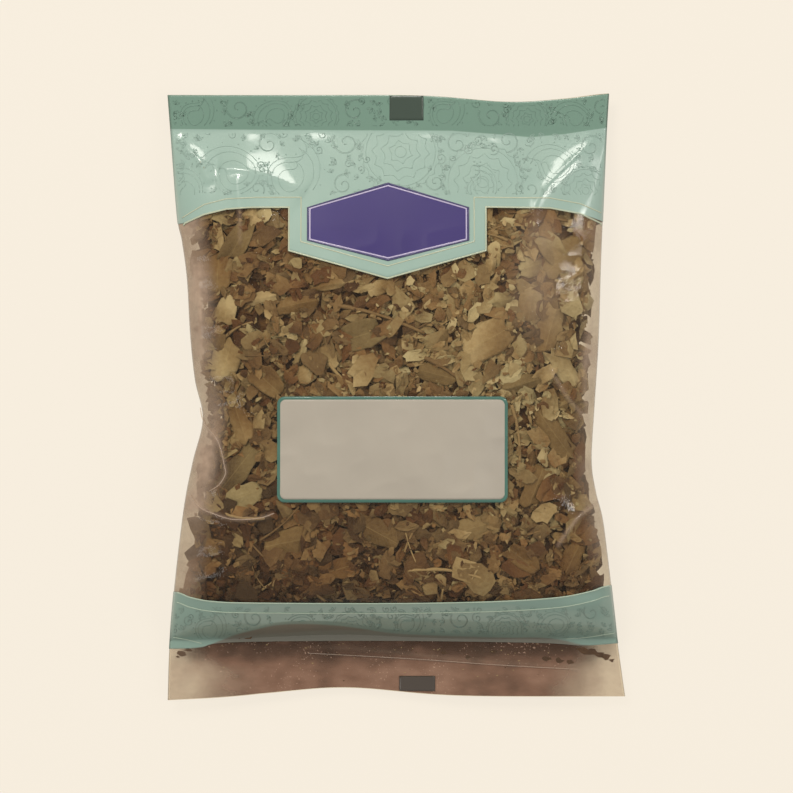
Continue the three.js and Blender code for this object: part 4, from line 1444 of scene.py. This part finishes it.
@dataclass
class Filling:
    """The dried leaves: a settled core, thousands of torn flakes, whole pieces and stalks."""

    pouch: Pouch
    seed: int = 4711
    leaf_wall: float = 0.22
    clear: float = 0.45
    low_y: float = -86.5
    high_y: float = 80.0
    side_gaps: tuple[float, float] = (1.9, 2.6)
    leaf_room: float = 1.7
    leaf_rows: int = 19
    leaf_columns: int = 13
    rim_shake: float = 0.38
    rim_reach: tuple[float, float] = (0.66, 1.1)
    squeeze: tuple[float, float] = (0.38, 0.85)
    tilt: float = 0.24
    # Painted shade: darker low in the bag and where a flake lies deeper.
    painted_shade_low_down: float = 0.34
    lighter_to_right: float = 0.11
    painted_shade_sunk: float = 0.02
    patch_tone: float = 0.055
    leaf_sink: float = 1.15
    core_rows: int = 120
    core_columns: int = 100
    core_side_gap: float = 7.0
    core_sink: tuple[float, float] = (4.2, 2.2)
    stalk_rings: int = 15
    stalk_sides: int = 6
    short_stalks: int = 150
    short_stalk_edge: float = 66.0

    def held_in(self, points: Points, under: float, rest: float | np.ndarray = 0.0) -> Points:
        """Points kept inside the film: off its side folds, under its front, over its back.

        Args:
            points: the points, with their last axis X, Y, Z.
            under: 0 for a leaf's upper face, 1 for its lower face.
            rest: how much further from the film each point stays, so that leaves lie in layers.
        Returns:
            The points, moved where they were outside.
        """
        y = np.clip(points[..., 1], self.low_y - 1.5, self.high_y + 2)
        left, right = self.pouch.sides(y)
        waver = 0.8 * noise(y, y * 0, 6, 41)
        x = np.clip(points[..., 0], left + self.side_gaps[0] + waver, right - self.side_gaps[1] - waver)
        roof = self.pouch.height(x, y) - self.clear - under * self.leaf_wall - rest
        floor = self.pouch.height(x, y, -1.0) + self.clear + (1 - under) * self.leaf_wall + rest
        z = np.maximum(np.minimum(points[..., 2], roof), np.minimum(floor, roof))
        return np.stack([x, y, z], -1)

    def scatter(
        self, draw: np.random.RandomState, count: int, front_share: float
    ) -> tuple[np.ndarray, np.ndarray]:
        """Seeded ring places and heights, spread evenly over the tube.

        Args:
            draw: the seeded source.
            count: how many.
            front_share: share of them on the front.
        Returns:
            Their ring places and their heights.
        """
        front = draw.uniform(size=count) < front_share
        turn = draw.uniform(0.012, 0.488, count)
        ring = np.where(front, turn, turn + 0.5)
        return ring, draw.uniform(self.low_y, self.high_y, count)

    def placed(self, shape: Points, ring: np.ndarray, y: np.ndarray, sink: np.ndarray) -> Points:
        """Sets flat shapes on the inside of the film, each in the film's own tangent plane.

        Args:
            shape: each shape's points, in its own plane.
            ring: ring place of each shape.
            y: height of each shape.
            sink: depth of each shape under the film.
        Returns:
            The shapes' points in the bag's frame.
        """
        base = self.pouch.on_ring(ring, y)
        normal = self.pouch.outward(ring, y)
        across = np.stack([normal[:, 2], np.zeros(len(ring)), -normal[:, 0]], 1)
        across /= np.maximum(np.linalg.norm(across, axis=1, keepdims=True), 1e-6)
        up = np.cross(normal, across)
        frame_axes = np.stack([across, up, normal], 1)
        return (base - normal * sink[:, None])[:, None] + np.einsum("nki,nij->nkj", shape, frame_axes)

    def torn(self, draw: np.random.RandomState, size: np.ndarray, rim: int, mid: bool) -> Points:
        """Torn flakes: a rim of uneven reach round a middle, curled along one line.

        The rim's corners stand at uneven angles, r = size (0.66 to 1.1), squeezed across. The
        height is c x^2 + d y^2 + e x y over the size, tilted a little both ways.

        Args:
            draw: the seeded source.
            size: half length of each flake.
            rim: corners of the rim.
            mid: whether there is a ring of points between the middle and the rim.
        Returns:
            The points of the upper faces, flake by point by X, Y and Z.
        """
        count = len(size)
        shake = draw.uniform(-self.rim_shake, self.rim_shake, (count, rim))
        angle = (np.arange(rim) + shake) * 2 * np.pi / rim
        reach = draw.uniform(*self.rim_reach, (count, rim)) * size[:, None]
        squeeze = draw.uniform(*self.squeeze, count)[:, None]
        rim_x, rim_y = reach * np.cos(angle), reach * np.sin(angle) * squeeze
        rings = [np.zeros((count, 1, 2))]
        outer = np.stack([rim_x, rim_y], -1)
        if mid:
            rings.append(outer * draw.uniform(0.45, 0.62, (count, rim, 1)))
        rings.append(outer)
        flat = np.concatenate(rings, 1)
        x, y = flat[..., 0], flat[..., 1]
        bow = draw.normal(0, 0.3, (count, 1)) * x * x + draw.normal(0, 0.55, (count, 1)) * y * y
        bow = (bow + draw.normal(0, 0.3, (count, 1)) * x * y) / size[:, None]
        bow += draw.normal(0, 0.065, x.shape) * size[:, None]
        tilt = draw.normal(0, self.tilt, (2, count, 1))
        z = bow + tilt[0] * x + tilt[1] * y
        turn = draw.uniform(0, 2 * np.pi, (count, 1))
        return np.stack([x * np.cos(turn) - y * np.sin(turn), x * np.sin(turn) + y * np.cos(turn), z], -1)

    def flake_faces(self, rim: int, mid: bool) -> np.ndarray:
        """Triangles of one flake, closed: upper face, lower face and wall."""
        k = np.arange(rim)
        after = (k + 1) % rim
        first = 1 + k
        top = [np.stack([np.zeros(rim, int), first, 1 + after], 1)]
        edge = first
        if mid:
            edge = 1 + rim + k
            next_edge = 1 + rim + after
            top += [np.stack([first, edge, next_edge], 1), np.stack([first, next_edge, 1 + after], 1)]
        upper = np.vstack(top)
        count = 1 + rim * (2 if mid else 1)
        a, b = edge, edge[after]
        wall = [np.stack([b, a, a + count], 1), np.stack([b, a + count, b + count], 1)]
        return np.vstack([upper, upper[:, ::-1] + count, *wall])

    def flakes(self, layer: Layer) -> bpy.types.Object:
        """Makes one piece of many flakes, their tone and hue drawn flake by flake.

        A flake is darker where it lies deeper or low in the bag, both painted shade, a little lighter to the
        right, and its tone leans across it, painted shading that falls in a direction drawn at random.

        Args:
            layer: what the flakes are like.
        Returns:
            The piece.
        """
        draw = np.random.RandomState(self.seed + layer.seed)
        count, sizes, depth = layer.count, layer.sizes, layer.depth
        ring, y = self.scatter(draw, count, layer.front)
        size = sizes[0] + (sizes[1] - sizes[0]) * draw.beta(1.1, 2.6, count)
        shape = self.torn(draw, size, layer.rim, layer.mid)
        faces = self.flake_faces(layer.rim, layer.mid)
        sink = depth[0] + (depth[1] - depth[0]) * draw.uniform(size=count) ** 1.2
        sink += self.leaf_room * self.beneath_leaves(ring, y)
        rest = (0.1 + 0.55 * (sink - depth[0]))[:, None]
        top = self.held_in(self.placed(shape, ring, y, sink), 0, rest)
        bottom = self.held_in(self.placed(shape - [0, 0, self.leaf_wall], ring, y, sink), 1, rest)
        both = np.concatenate([top, bottom], 1)
        per = both.shape[1]
        points = both.reshape(-1, 3)
        all_faces = (faces[None] + (np.arange(count) * per)[:, None, None]).reshape(-1, 3)
        px, py = points[::per, 0], points[::per, 1]
        patches = self.patch_tone * noise(px, py, 14, 51)
        # Painted shade low in the bag and on deeper flakes.
        painted_low_shade = self.painted_shade_low_down * (1 - smooth_step(y, -75, 0))
        to_right = self.lighter_to_right * (2 * smooth_step(px, -50, 50) - 1)
        own = draw.beta(2.3, 2.4, count)
        shade = own - self.painted_shade_sunk * sink + patches - painted_low_shade + to_right + 0.07
        # Painted shading: each flake's tone leans lighter to one side.
        way, strength = draw.uniform(0, 2 * np.pi, (count, 1)), draw.uniform(0, 0.24, (count, 1))
        painted_shading = (shape[..., 0] * np.cos(way) + shape[..., 1] * np.sin(way)) / size[:, None]
        tone = np.clip(np.tile(shade[:, None] + strength * painted_shading, 2), 0, 1)
        values = {"tone": tone, "hue": np.repeat(draw.uniform(0, 1, count), per)}
        piece = put_mesh(layer.name, points, [all_faces], self.broken, values, smooth=False)
        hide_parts("leaf_fill")
        return piece

    def beneath_leaves(self, ring: np.ndarray, y: np.ndarray) -> np.ndarray:
        """1 for places under one of the larger leaves, as an oval of its length and width."""
        x, side = self.pouch.across(ring, y)
        hidden = np.zeros(x.shape, bool)
        for cx, cy, turn, length, width, _ in LARGE_LEAVES:
            along = (x - cx) * math.cos(turn) + (y - cy) * math.sin(turn)
            off = (y - cy) * math.cos(turn) - (x - cx) * math.sin(turn)
            hidden |= (2 * along / length) ** 2 + (2 * off / width) ** 2 < 1.1
        return hidden & (side > 0)

    def core(self) -> bpy.types.Object:
        """Makes the settled mass that the flakes lie on: the pillow's own form, lower and rough."""
        y = np.linspace(self.low_y + 3, self.high_y - 1, self.core_rows)
        u = np.sin(np.linspace(-np.pi / 2, np.pi / 2, self.core_columns))
        share, heights = np.meshgrid(u, y)
        left, right = self.pouch.sides(heights)
        x = (left + right) / 2 + share * ((right - left) / 2 - self.core_side_gap)
        rough = 1.3 * np.abs(noise(x, heights, 4, 61)) + 0.9 * noise(x, heights, 2.2, 62)
        at_ends = smooth_step(np.abs(heights + 3), 76, 80)
        closing = 1 - np.maximum(smooth_step(np.abs(share), 0.9, 1), at_ends)
        top = self.pouch.height(x, heights) - self.core_sink[0] - rough * closing
        bottom = self.pouch.height(x, heights, -1.0) + self.core_sink[1]
        middle = (top + bottom) / 2
        half = np.maximum((top - bottom) / 2, 0.1) * (0.1 + 0.9 * closing)
        upper = np.stack([x, heights, middle + half], -1)
        lower = np.stack([x, heights, middle - half], -1)
        points, faces = closed_sheet(upper, lower)
        tone = np.clip(0.16 + 0.2 * noise(points[:, 0], points[:, 1], 3, 63), 0, 1)
        values = {"tone": tone, "hue": np.full(len(points), 0.3)}
        piece = put_mesh("leaf_core", points, faces, self.broken, values)
        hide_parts("leaf_fill")
        return piece

    def leaf(
        self, x: float, y: float, turn: float, length: float, width: float, seed: int
    ) -> tuple[Points, Faces]:
        """One leaf piece: a length of an oval, creased along its rib, torn on all sides.

        Half its width is W sin^0.45 over the stretch of the oval that is left. Both long edges and
        both ends are cut along short straight tears. Its height is a fold that falls off from the
        rib, a twist, a curl of its ends and a fine crumple.

        Args:
            x: place of its middle.
            y: place of its middle.
            turn: its rib's direction.
            length: its length.
            width: its width.
            seed: picks its tears.
        Returns:
            The points and faces.
        """
        draw = np.random.RandomState(self.seed + 900 + seed)
        t = np.linspace(0.0, 1.0, self.leaf_rows)[:, None]
        s = np.linspace(1.0, -1.0, self.leaf_columns)[None]
        first, last = draw.uniform(0.08, 0.25), draw.uniform(0.74, 0.9)
        shape = np.sin(np.pi * (first + (last - first) * t)) ** 0.45
        tear = np.sort(draw.uniform(0, 1, (2, 4)), 1)
        upper_edge, lower_edge = (
            np.interp(t, [0, *tear[k], 1], draw.uniform(0.66, 1.06, 6)) for k in (0, 1)
        )
        half = width / 2 * shape * np.where(s > 0, upper_edge, lower_edge)
        start, end = (np.interp(s, [-1, -0.35, 0.3, 1], draw.uniform(-0.1, 0.1, 4)) for _ in range(2))
        along = (t - 0.5 + (1 - t) * start + t * end) * length
        off = s * half
        c, n = math.cos(turn), math.sin(turn)
        px, py = x + along * c - off * n, y + along * n + off * c
        fold = draw.uniform(0.5, 1.9) * (0.35 - np.abs(s)) * draw.choice([-1, 1], p=[0.25, 0.75])
        twist = draw.normal(0, 0.7) * s * (t - 0.5) * 2 - abs(draw.normal(0, 0.9)) * (2 * t - 1) ** 2
        crumple = 0.5 * noise(px, py, 3.4, 81) + 0.2 * noise(px, py, 1.5, 82)
        z = self.pouch.height(px, py) - self.leaf_sink + fold + twist + crumple
        top = self.held_in(np.stack([px, py, z], -1), 0)
        bottom = self.held_in(np.stack([px, py, z - self.leaf_wall], -1), 1)
        return closed_sheet(top, bottom)

    def leaves(self, plan: Sequence[tuple[float, float, float, float, float, float]]) -> bpy.types.Object:
        """Makes the larger leaf pieces.

        Args:
            plan: for each, its place, turn, length, width and tone.
        Returns:
            The piece.
        """
        parts = [self.leaf(*entry[:5], seed=k) for k, entry in enumerate(plan)]
        points, faces = merged(parts)
        along, across = np.linspace(0, 1, self.leaf_rows), np.linspace(0, 1, self.leaf_columns)
        t, s = np.meshgrid(along, across, indexing="ij")
        own = np.stack([t.ravel(), s.ravel()], 1)
        uv = np.tile(np.vstack([own, own]), (len(plan), 1))
        ramp = np.concatenate([0.16 * np.sin(4 * t.ravel() + 2.2 * s.ravel())] * 2)
        tone = np.concatenate([entry[5] + ramp * math.cos(3 * k) for k, entry in enumerate(plan)])
        hue = np.repeat(np.random.RandomState(self.seed).uniform(0, 1, len(plan)), 2 * len(own))
        piece = put_mesh("large_leaves", points, faces, WHOLE_LEAF.make(), {"tone": tone, "hue": hue}, uv)
        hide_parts(*[f"leaf_{k:02d}" for k in range(1, 15)])
        return piece

    def stalk(
        self,
        start: tuple[float, float],
        end: tuple[float, float],
        radius: float,
        bend: float,
        sink: float,
    ) -> tuple[Points, Faces]:
        """One stalk: a six-sided twig on a bowed line, thinner to its end, with small knots.

        The line is straight between its ends plus the bend times sin(pi t), and the radius is
        R (1 - 0.35 t) (1 + 0.15 sin 9t).

        Args:
            start: place of its thick end.
            end: place of its thin end.
            radius: R.
            bend: how far its middle bows off the straight line.
            sink: how far under the film it lies.
        Returns:
            The points and faces.
        """
        rings, sides = self.stalk_rings, self.stalk_sides
        t = np.linspace(0, 1, rings)
        a, b = np.array(start), np.array(end)
        way = (b - a) / np.linalg.norm(b - a)
        normal = np.array([-way[1], way[0]])
        line = a + (b - a) * t[:, None] + normal * (bend * np.sin(np.pi * t))[:, None]
        reach = radius * (1 - 0.35 * t) * (1 + 0.15 * np.sin(9 * t))
        z = self.pouch.height(line[:, 0], line[:, 1]) - sink - radius
        turn = np.linspace(0, 2 * np.pi, sides + 1)[:-1]
        off = reach[:, None] * np.cos(turn)
        x = line[:, :1] + normal[0] * off
        y = line[:, 1:] + normal[1] * off
        points = np.stack([x, y, z[:, None] + reach[:, None] * np.sin(turn)], -1)
        wall = quads(rings, sides, ring=True)[:, ::-1]
        first = np.arange(sides)
        last = first + (rings - 1) * sides
        return points.reshape(-1, 3), [wall, first[None], last[None, ::-1]]

    def stalks(self, plan: Sequence[tuple]) -> bpy.types.Object:
        """Makes the stalks of the plan, and a seeded scatter of shorter ones.

        Args:
            plan: for each, both its ends, radius and bend.
        Returns:
            The piece.
        """
        draw = np.random.RandomState(self.seed + 700)
        parts = [self.stalk(*entry, sink=self.clear + 0.1) for entry in plan]
        for _ in range(self.short_stalks):
            x, y = draw.uniform(-64, 64), draw.uniform(-80, 66)
            turn, length = draw.uniform(0, np.pi), draw.uniform(5, 20)
            dx, dy = length / 2 * math.cos(turn), length / 2 * math.sin(turn)
            ends = ((x - dx, y - dy), (x + dx, y + dy))
            radius, bend, sink = draw.uniform(0.2, 0.55), draw.normal(0, 0.8), draw.uniform(0.6, 2.6)
            along = np.linspace(-1, 1, 5)
            ring = self.pouch.ring_of(x + along * dx)
            too_wide = max(abs(x - dx), abs(x + dx)) > self.short_stalk_edge
            if not too_wide and not self.beneath_leaves(ring, y + along * dy).any():
                parts.append(self.stalk(*ends, radius, bend, sink))
        points, faces = merged(parts)
        tone = np.repeat(draw.uniform(0.1, 0.9, len(parts)), self.stalk_rings * self.stalk_sides)
        values = {"tone": tone, "hue": np.full(len(tone), 0.5)}
        piece = put_mesh("stalks", points, faces, STALK.make(), values)
        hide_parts(*[f"stalk_{k:02d}" for k in range(1, 7)])
        return piece

    def build(self) -> list[bpy.types.Object]:
        """Makes the whole filling."""
        self.broken = BROKEN_LEAF.make()
        mass = [self.core(), *(self.flakes(layer) for layer in LAYERS)]
        return [*mass, self.leaves(LARGE_LEAVES), self.stalks(STALK_PLAN)]


@dataclass
class Fin:
    """What shows in the clear fin below the belly: leaf dust and a few chips."""

    pouch: Pouch
    half_wall: float = 0.09
    reach: float = 0.992
    low_y: float = -109.3
    high_y: float = -87.0
    columns: int = 172
    rows: int = 46
    seed: int = 815
    chip_corners: int = 8
    chip_faces: tuple[float, float] = (0.16, 0.05)
    chip_squeeze: float = 0.55
    least_cover: float = 0.13
    middle_cover: float = 0.86
    low_tone: float = 0.76
    # How much darker the dust is just under the belly: thicker dust and painted shade.
    thick_and_painted_shade: float = 0.48
    crumb_count: int = 90
    chips: tuple[tuple[float, float, float], ...] = (
        (17, -92.5, 1.8), (25.5, -94.2, 1.6), (35, -92, 1.6), (67, -91.4, 2.6), (70, -92.2, 2.8),
        (73, -93, 2.7), (75.6, -94.2, 2.2), (77.6, -95.2, 1.3), (-77.4, -92.6, 1.9), (-75.4, -91.4, 1.6),
        (-78.8, -93.8, 1.0), (54, -94.6, 2.2), (58.5, -95.3, 2.2), (63, -95.8, 1.8), (-8, -91.5, 1.2),
    )

    def middle(self, x: np.ndarray, y: np.ndarray) -> np.ndarray:
        """Height of the plane between the two films."""
        return (self.pouch.height(x, y) + self.pouch.height(x, y, -1.0)) / 2

    def build(self) -> list[bpy.types.Object]:
        """Makes the dust and the chips."""
        along = np.linspace(-self.reach, self.reach, self.columns)
        up = np.linspace(self.low_y, self.high_y, self.rows)
        shares, plain = np.meshgrid(along, up)
        left, right = self.pouch.sides(plain)
        x = (left + right) / 2 + shares * (right - left) / 2
        front, back = (self.pouch.skin(x, plain, np.full(x.shape, side)) for side in (1.0, -1.0))
        place = (front + back) / 2
        lift = [0, 0, self.half_wall]
        points, faces = closed_sheet(place + lift, place - lift)
        px, py = points[:, 0], points[:, 1]
        ragged = 3 * noise(px, py, 9, 71) + 1.5 * noise(px, py, 3.5, 72)
        lower = 1 - smooth_step(py, -101, -92)
        middle_part = smooth_step(px + ragged, -82, -65 + 22 * lower)
        middle_part *= 1 - smooth_step(px + ragged, 60 - 16 * lower, 82)
        cover = self.least_cover + self.middle_cover * middle_part + 0.05 * noise(px, py, 16, 73)
        # Darker just under the belly: thicker dust, and painted shade from the belly's overhang.
        thick_and_shaded = smooth_step(py, -100, -90.5)
        cloudy = 0.14 * noise(px, py, 12, 74) + 0.1 * noise(px, py, 4, 75)
        values = {"cover": np.clip(cover, 0, 1), "tone": self.low_tone - self.thick_and_painted_shade * thick_and_shaded + cloudy}
        dust = put_mesh("fin_dust", points, faces, DustFinish().make(), values)
        return [dust, self.chip_piece()]

    def chip_piece(self) -> bpy.types.Object:
        """Makes the named chips and a seeded sprinkle of crumbs, as thin eight-sided scraps."""
        draw = np.random.RandomState(self.seed)
        count = self.crumb_count
        x = np.concatenate([[c[0] for c in self.chips], draw.uniform(-70, 74, count)])
        y = np.concatenate([[c[1] for c in self.chips], -89 - 16 * draw.beta(1, 2.2, count)])
        size = np.concatenate([[c[2] for c in self.chips], draw.uniform(0.15, 0.42, count)])
        n, rim = len(x), self.chip_corners
        angle = (np.arange(rim) + draw.uniform(-0.4, 0.4, (n, rim))) * 2 * np.pi / rim
        reach = size[:, None] * draw.uniform(0.45, 1.15, (n, rim))
        px = np.hstack([x[:, None], x[:, None] + reach * np.cos(angle)])
        py = np.hstack([y[:, None], y[:, None] + self.chip_squeeze * reach * np.sin(angle)])
        z = self.middle(px, py)
        points = np.concatenate([np.stack([px, py, z + face], -1) for face in self.chip_faces], 1)
        per = 2 * (rim + 1)
        template = Filling(self.pouch).flake_faces(rim, False)
        faces = (template[None] + (np.arange(n) * per)[:, None, None]).reshape(-1, 3)
        named = draw.uniform(0.0, 0.08, len(self.chips))
        tone = np.repeat(np.concatenate([named, draw.choice([0.1, 0.9], count)]), per)
        values = {"tone": tone, "hue": np.full(len(tone), 0.2)}
        leaf = BROKEN_LEAF.make()
        piece = put_mesh("fin_chips", points.reshape(-1, 3), [faces], leaf, values, smooth=False)
        return piece


@dataclass
class CreaseEdges:
    """The sharp edges of the folds in the film: thin pale lines, the film's whitening and a painted
    highlight along each fold.
    """

    pouch: Pouch
    lift: float = 0.3
    wall: float = 0.05
    spans: int = 14
    # Share of the pale strip's haze: the film's whitening and painted highlight.
    veil: float = 0.27

    def build(self) -> list[bpy.types.Object]:
        """Makes a strip along every fold that has a pale edge."""
        pen = Patch(self.pouch, self.lift, self.wall)
        edged = [crease for crease in self.pouch.creases if crease.edge]
        points, faces = merged([pen.ribbon(crease.line(self.spans), crease.edge) for crease in edged])
        finish = FilmFinish("whitened_highlight_film", haze_colour="#c4b3a8").make()
        piece = put_mesh("crease_edges", points, faces, finish, {"haze_and_painted_highlight": np.full(len(points), self.veil)})
        return [piece]


@dataclass
class BackSeam:
    """The lap along the back where the film's two edges are joined, just inside the film."""

    pouch: Pouch
    x: float = 5.0
    lap: float = 12.0
    sink: float = 0.22
    wall: float = 0.1
    veil: float = 0.28
    rows: int = 160
    columns: int = 9

    def build(self, finish: bpy.types.Material) -> bpy.types.Object:
        """Makes the lap: a strip on the inside of the back film, over the bag's whole length."""
        y = np.linspace(-self.pouch.top + 1, self.pouch.top - 1, self.rows)[:, None]
        x = np.linspace(self.x + self.lap / 2, self.x - self.lap / 2, self.columns)[None]
        x, y = np.broadcast_arrays(x, y)
        base = self.pouch.skin(x, y, np.full(x.shape, -1.0))
        outer, inner = base.copy(), base.copy()
        outer[..., 2] += self.sink
        inner[..., 2] += self.sink + self.wall
        points, faces = closed_sheet(outer, inner)
        piece = put_mesh("back_seam", points, faces, finish, {"haze_and_painted_highlight": np.full(len(points), self.veil)})
        return piece


GLINT_HEIGHT = 22.0


@dataclass(frozen=True)
class Lamp:
    """A soft box: its place, size and target in metres, its power in watts."""

    name: str
    place: tuple[float, float, float]
    size: tuple[float, float]
    power: float
    colour: str = "#fffaf2"
    target: tuple[float, float, float] = (0.0, 0.0, 0.0)
    glossy: bool = True
    diffuse: bool = True

    def hang(self) -> None:
        """Adds the lamp to the scene, aimed at its target."""
        data = bpy.data.lights.new(self.name, "AREA")
        data.shape = "RECTANGLE"
        data.size, data.size_y = self.size
        data.energy = self.power
        data.color = srgb(self.colour)[:3]
        lamp = bpy.data.objects.new(self.name, data)
        lamp.location = self.place
        lamp.visible_glossy = self.glossy
        lamp.visible_diffuse = self.diffuse
        way = Vector(self.target) - Vector(self.place)
        lamp.rotation_euler = way.to_track_quat("-Z", "Y").to_euler()
        bpy.context.collection.objects.link(lamp)


def glint(
    name: str,
    place: tuple[float, float],
    slope: tuple[float, float],
    away: float,
    size: tuple[float, float],
    power: float,
) -> Lamp:
    """A lamp that lies where one slope of the film at one place mirrors it upwards.

    It stands off the film along (-2a, -2b, 1 - a^2 - b^2), its length 1, for the slope (a, b).

    Args:
        name: the lamp's name.
        place: X and Y on the film.
        slope: the film's slope along X and along Y there.
        away: distance from the film, in metres.
        size: the lamp's width and height, in metres.
        power: its power, in watts.
    Returns:
        The lamp, which lights no matt surface.
    """
    a, b = slope
    way = np.array([-2 * a, -2 * b, 1 - a * a - b * b]) / (1 + a * a + b * b)
    stand = np.array([*place, GLINT_HEIGHT]) * MM + way * away
    target = (place[0] * MM, place[1] * MM, GLINT_HEIGHT * MM)
    return Lamp(name, tuple(stand), size, power, target=target, diffuse=False)


LAMPS = (
    Lamp("key_box", (-0.55, 0.85, 1.35), (0.7, 0.6), 22.5, glossy=False),
    Lamp("fill_box", (0.9, -0.2, 1.3), (0.8, 0.8), 7.5, "#ffffff", glossy=False),
    Lamp("left_glint", (-0.42, 1.15, 0.98), (0.36, 0.2), 1.4),
    Lamp("side_glint", (-1.2, -0.25, 0.8), (0.16, 0.6), 0.9, "#fffdf8"),
    Lamp("right_glint", (1.05, 0.55, 0.85), (0.2, 0.4), 1.2, "#fffaf6"),
    glint("left_fold_glint", (-48, 79), (-0.1, -0.78), 0.4, (0.12, 0.08), 0.33),
    glint("corner_glint", (-75, 90), (0.1, -0.46), 0.35, (0.05, 0.05), 0.13),
    glint("right_fold_glint", (60, 82), (-0.43, -0.13), 0.4, (0.07, 0.09), 0.27),
)


@dataclass
class Studio:
    """The pale floor, the soft lights and the camera that looks straight down."""

    picture_width: float = 285.48
    eye_height: float = 2400.0
    subject_height: float = 10.0
    sensor: float = 36.0
    floor_size: float = 12000.0
    sky_colour: str = "#fffaf2"
    sky_strength: float = 0.52

    def build(self) -> None:
        """Makes the floor, the lights, the sky and the camera."""
        half = self.floor_size / 2
        corners = np.array([(-half, -half, 0), (half, -half, 0), (half, half, 0), (-half, half, 0)]) * MM
        mesh = bpy.data.meshes.new("floor")
        mesh.from_pydata(corners.tolist(), [], [(0, 1, 2, 3)])
        mesh.materials.append(FloorFinish().make())
        floor = bpy.data.objects.new("floor", mesh)
        bpy.context.collection.objects.link(floor)
        for lamp in LAMPS:
            lamp.hang()
        world = bpy.data.worlds.new("studio")
        world.use_nodes = True
        sky = world.node_tree.nodes["Background"]
        sky.inputs["Color"].default_value = srgb(self.sky_colour)
        sky.inputs["Strength"].default_value = self.sky_strength
        bpy.context.scene.world = world
        data = bpy.data.cameras.new("camera")
        data.sensor_width = self.sensor
        data.lens = self.sensor * (self.eye_height - self.subject_height) / self.picture_width
        camera = bpy.data.objects.new("camera", data)
        camera.location = (0, 0, self.eye_height * MM)
        bpy.context.collection.objects.link(camera)
        bpy.context.scene.camera = camera
        bpy.context.scene.view_settings.view_transform = "Standard"


def main() -> None:
    """Builds the bag's sub-assemblies in order, and the studio round them."""
    logging.basicConfig(level=logging.INFO, format="%(message)s")
    pouch = Pouch()
    film = pouch.build(FilmFinish())
    BackSeam(pouch).build(film.data.materials[0])
    for part in (
        Header(pouch), Footer(pouch), Plaque(pouch), Label(pouch), EyeMarks(pouch), Ornament(pouch),
        Filling(pouch), Fin(pouch), CreaseEdges(pouch),
    ):
        for piece in part.build():
            LOG.info("  %s rides on %s", piece.name, BODY)
    Studio().build()


if __name__ == "__main__":
    main()
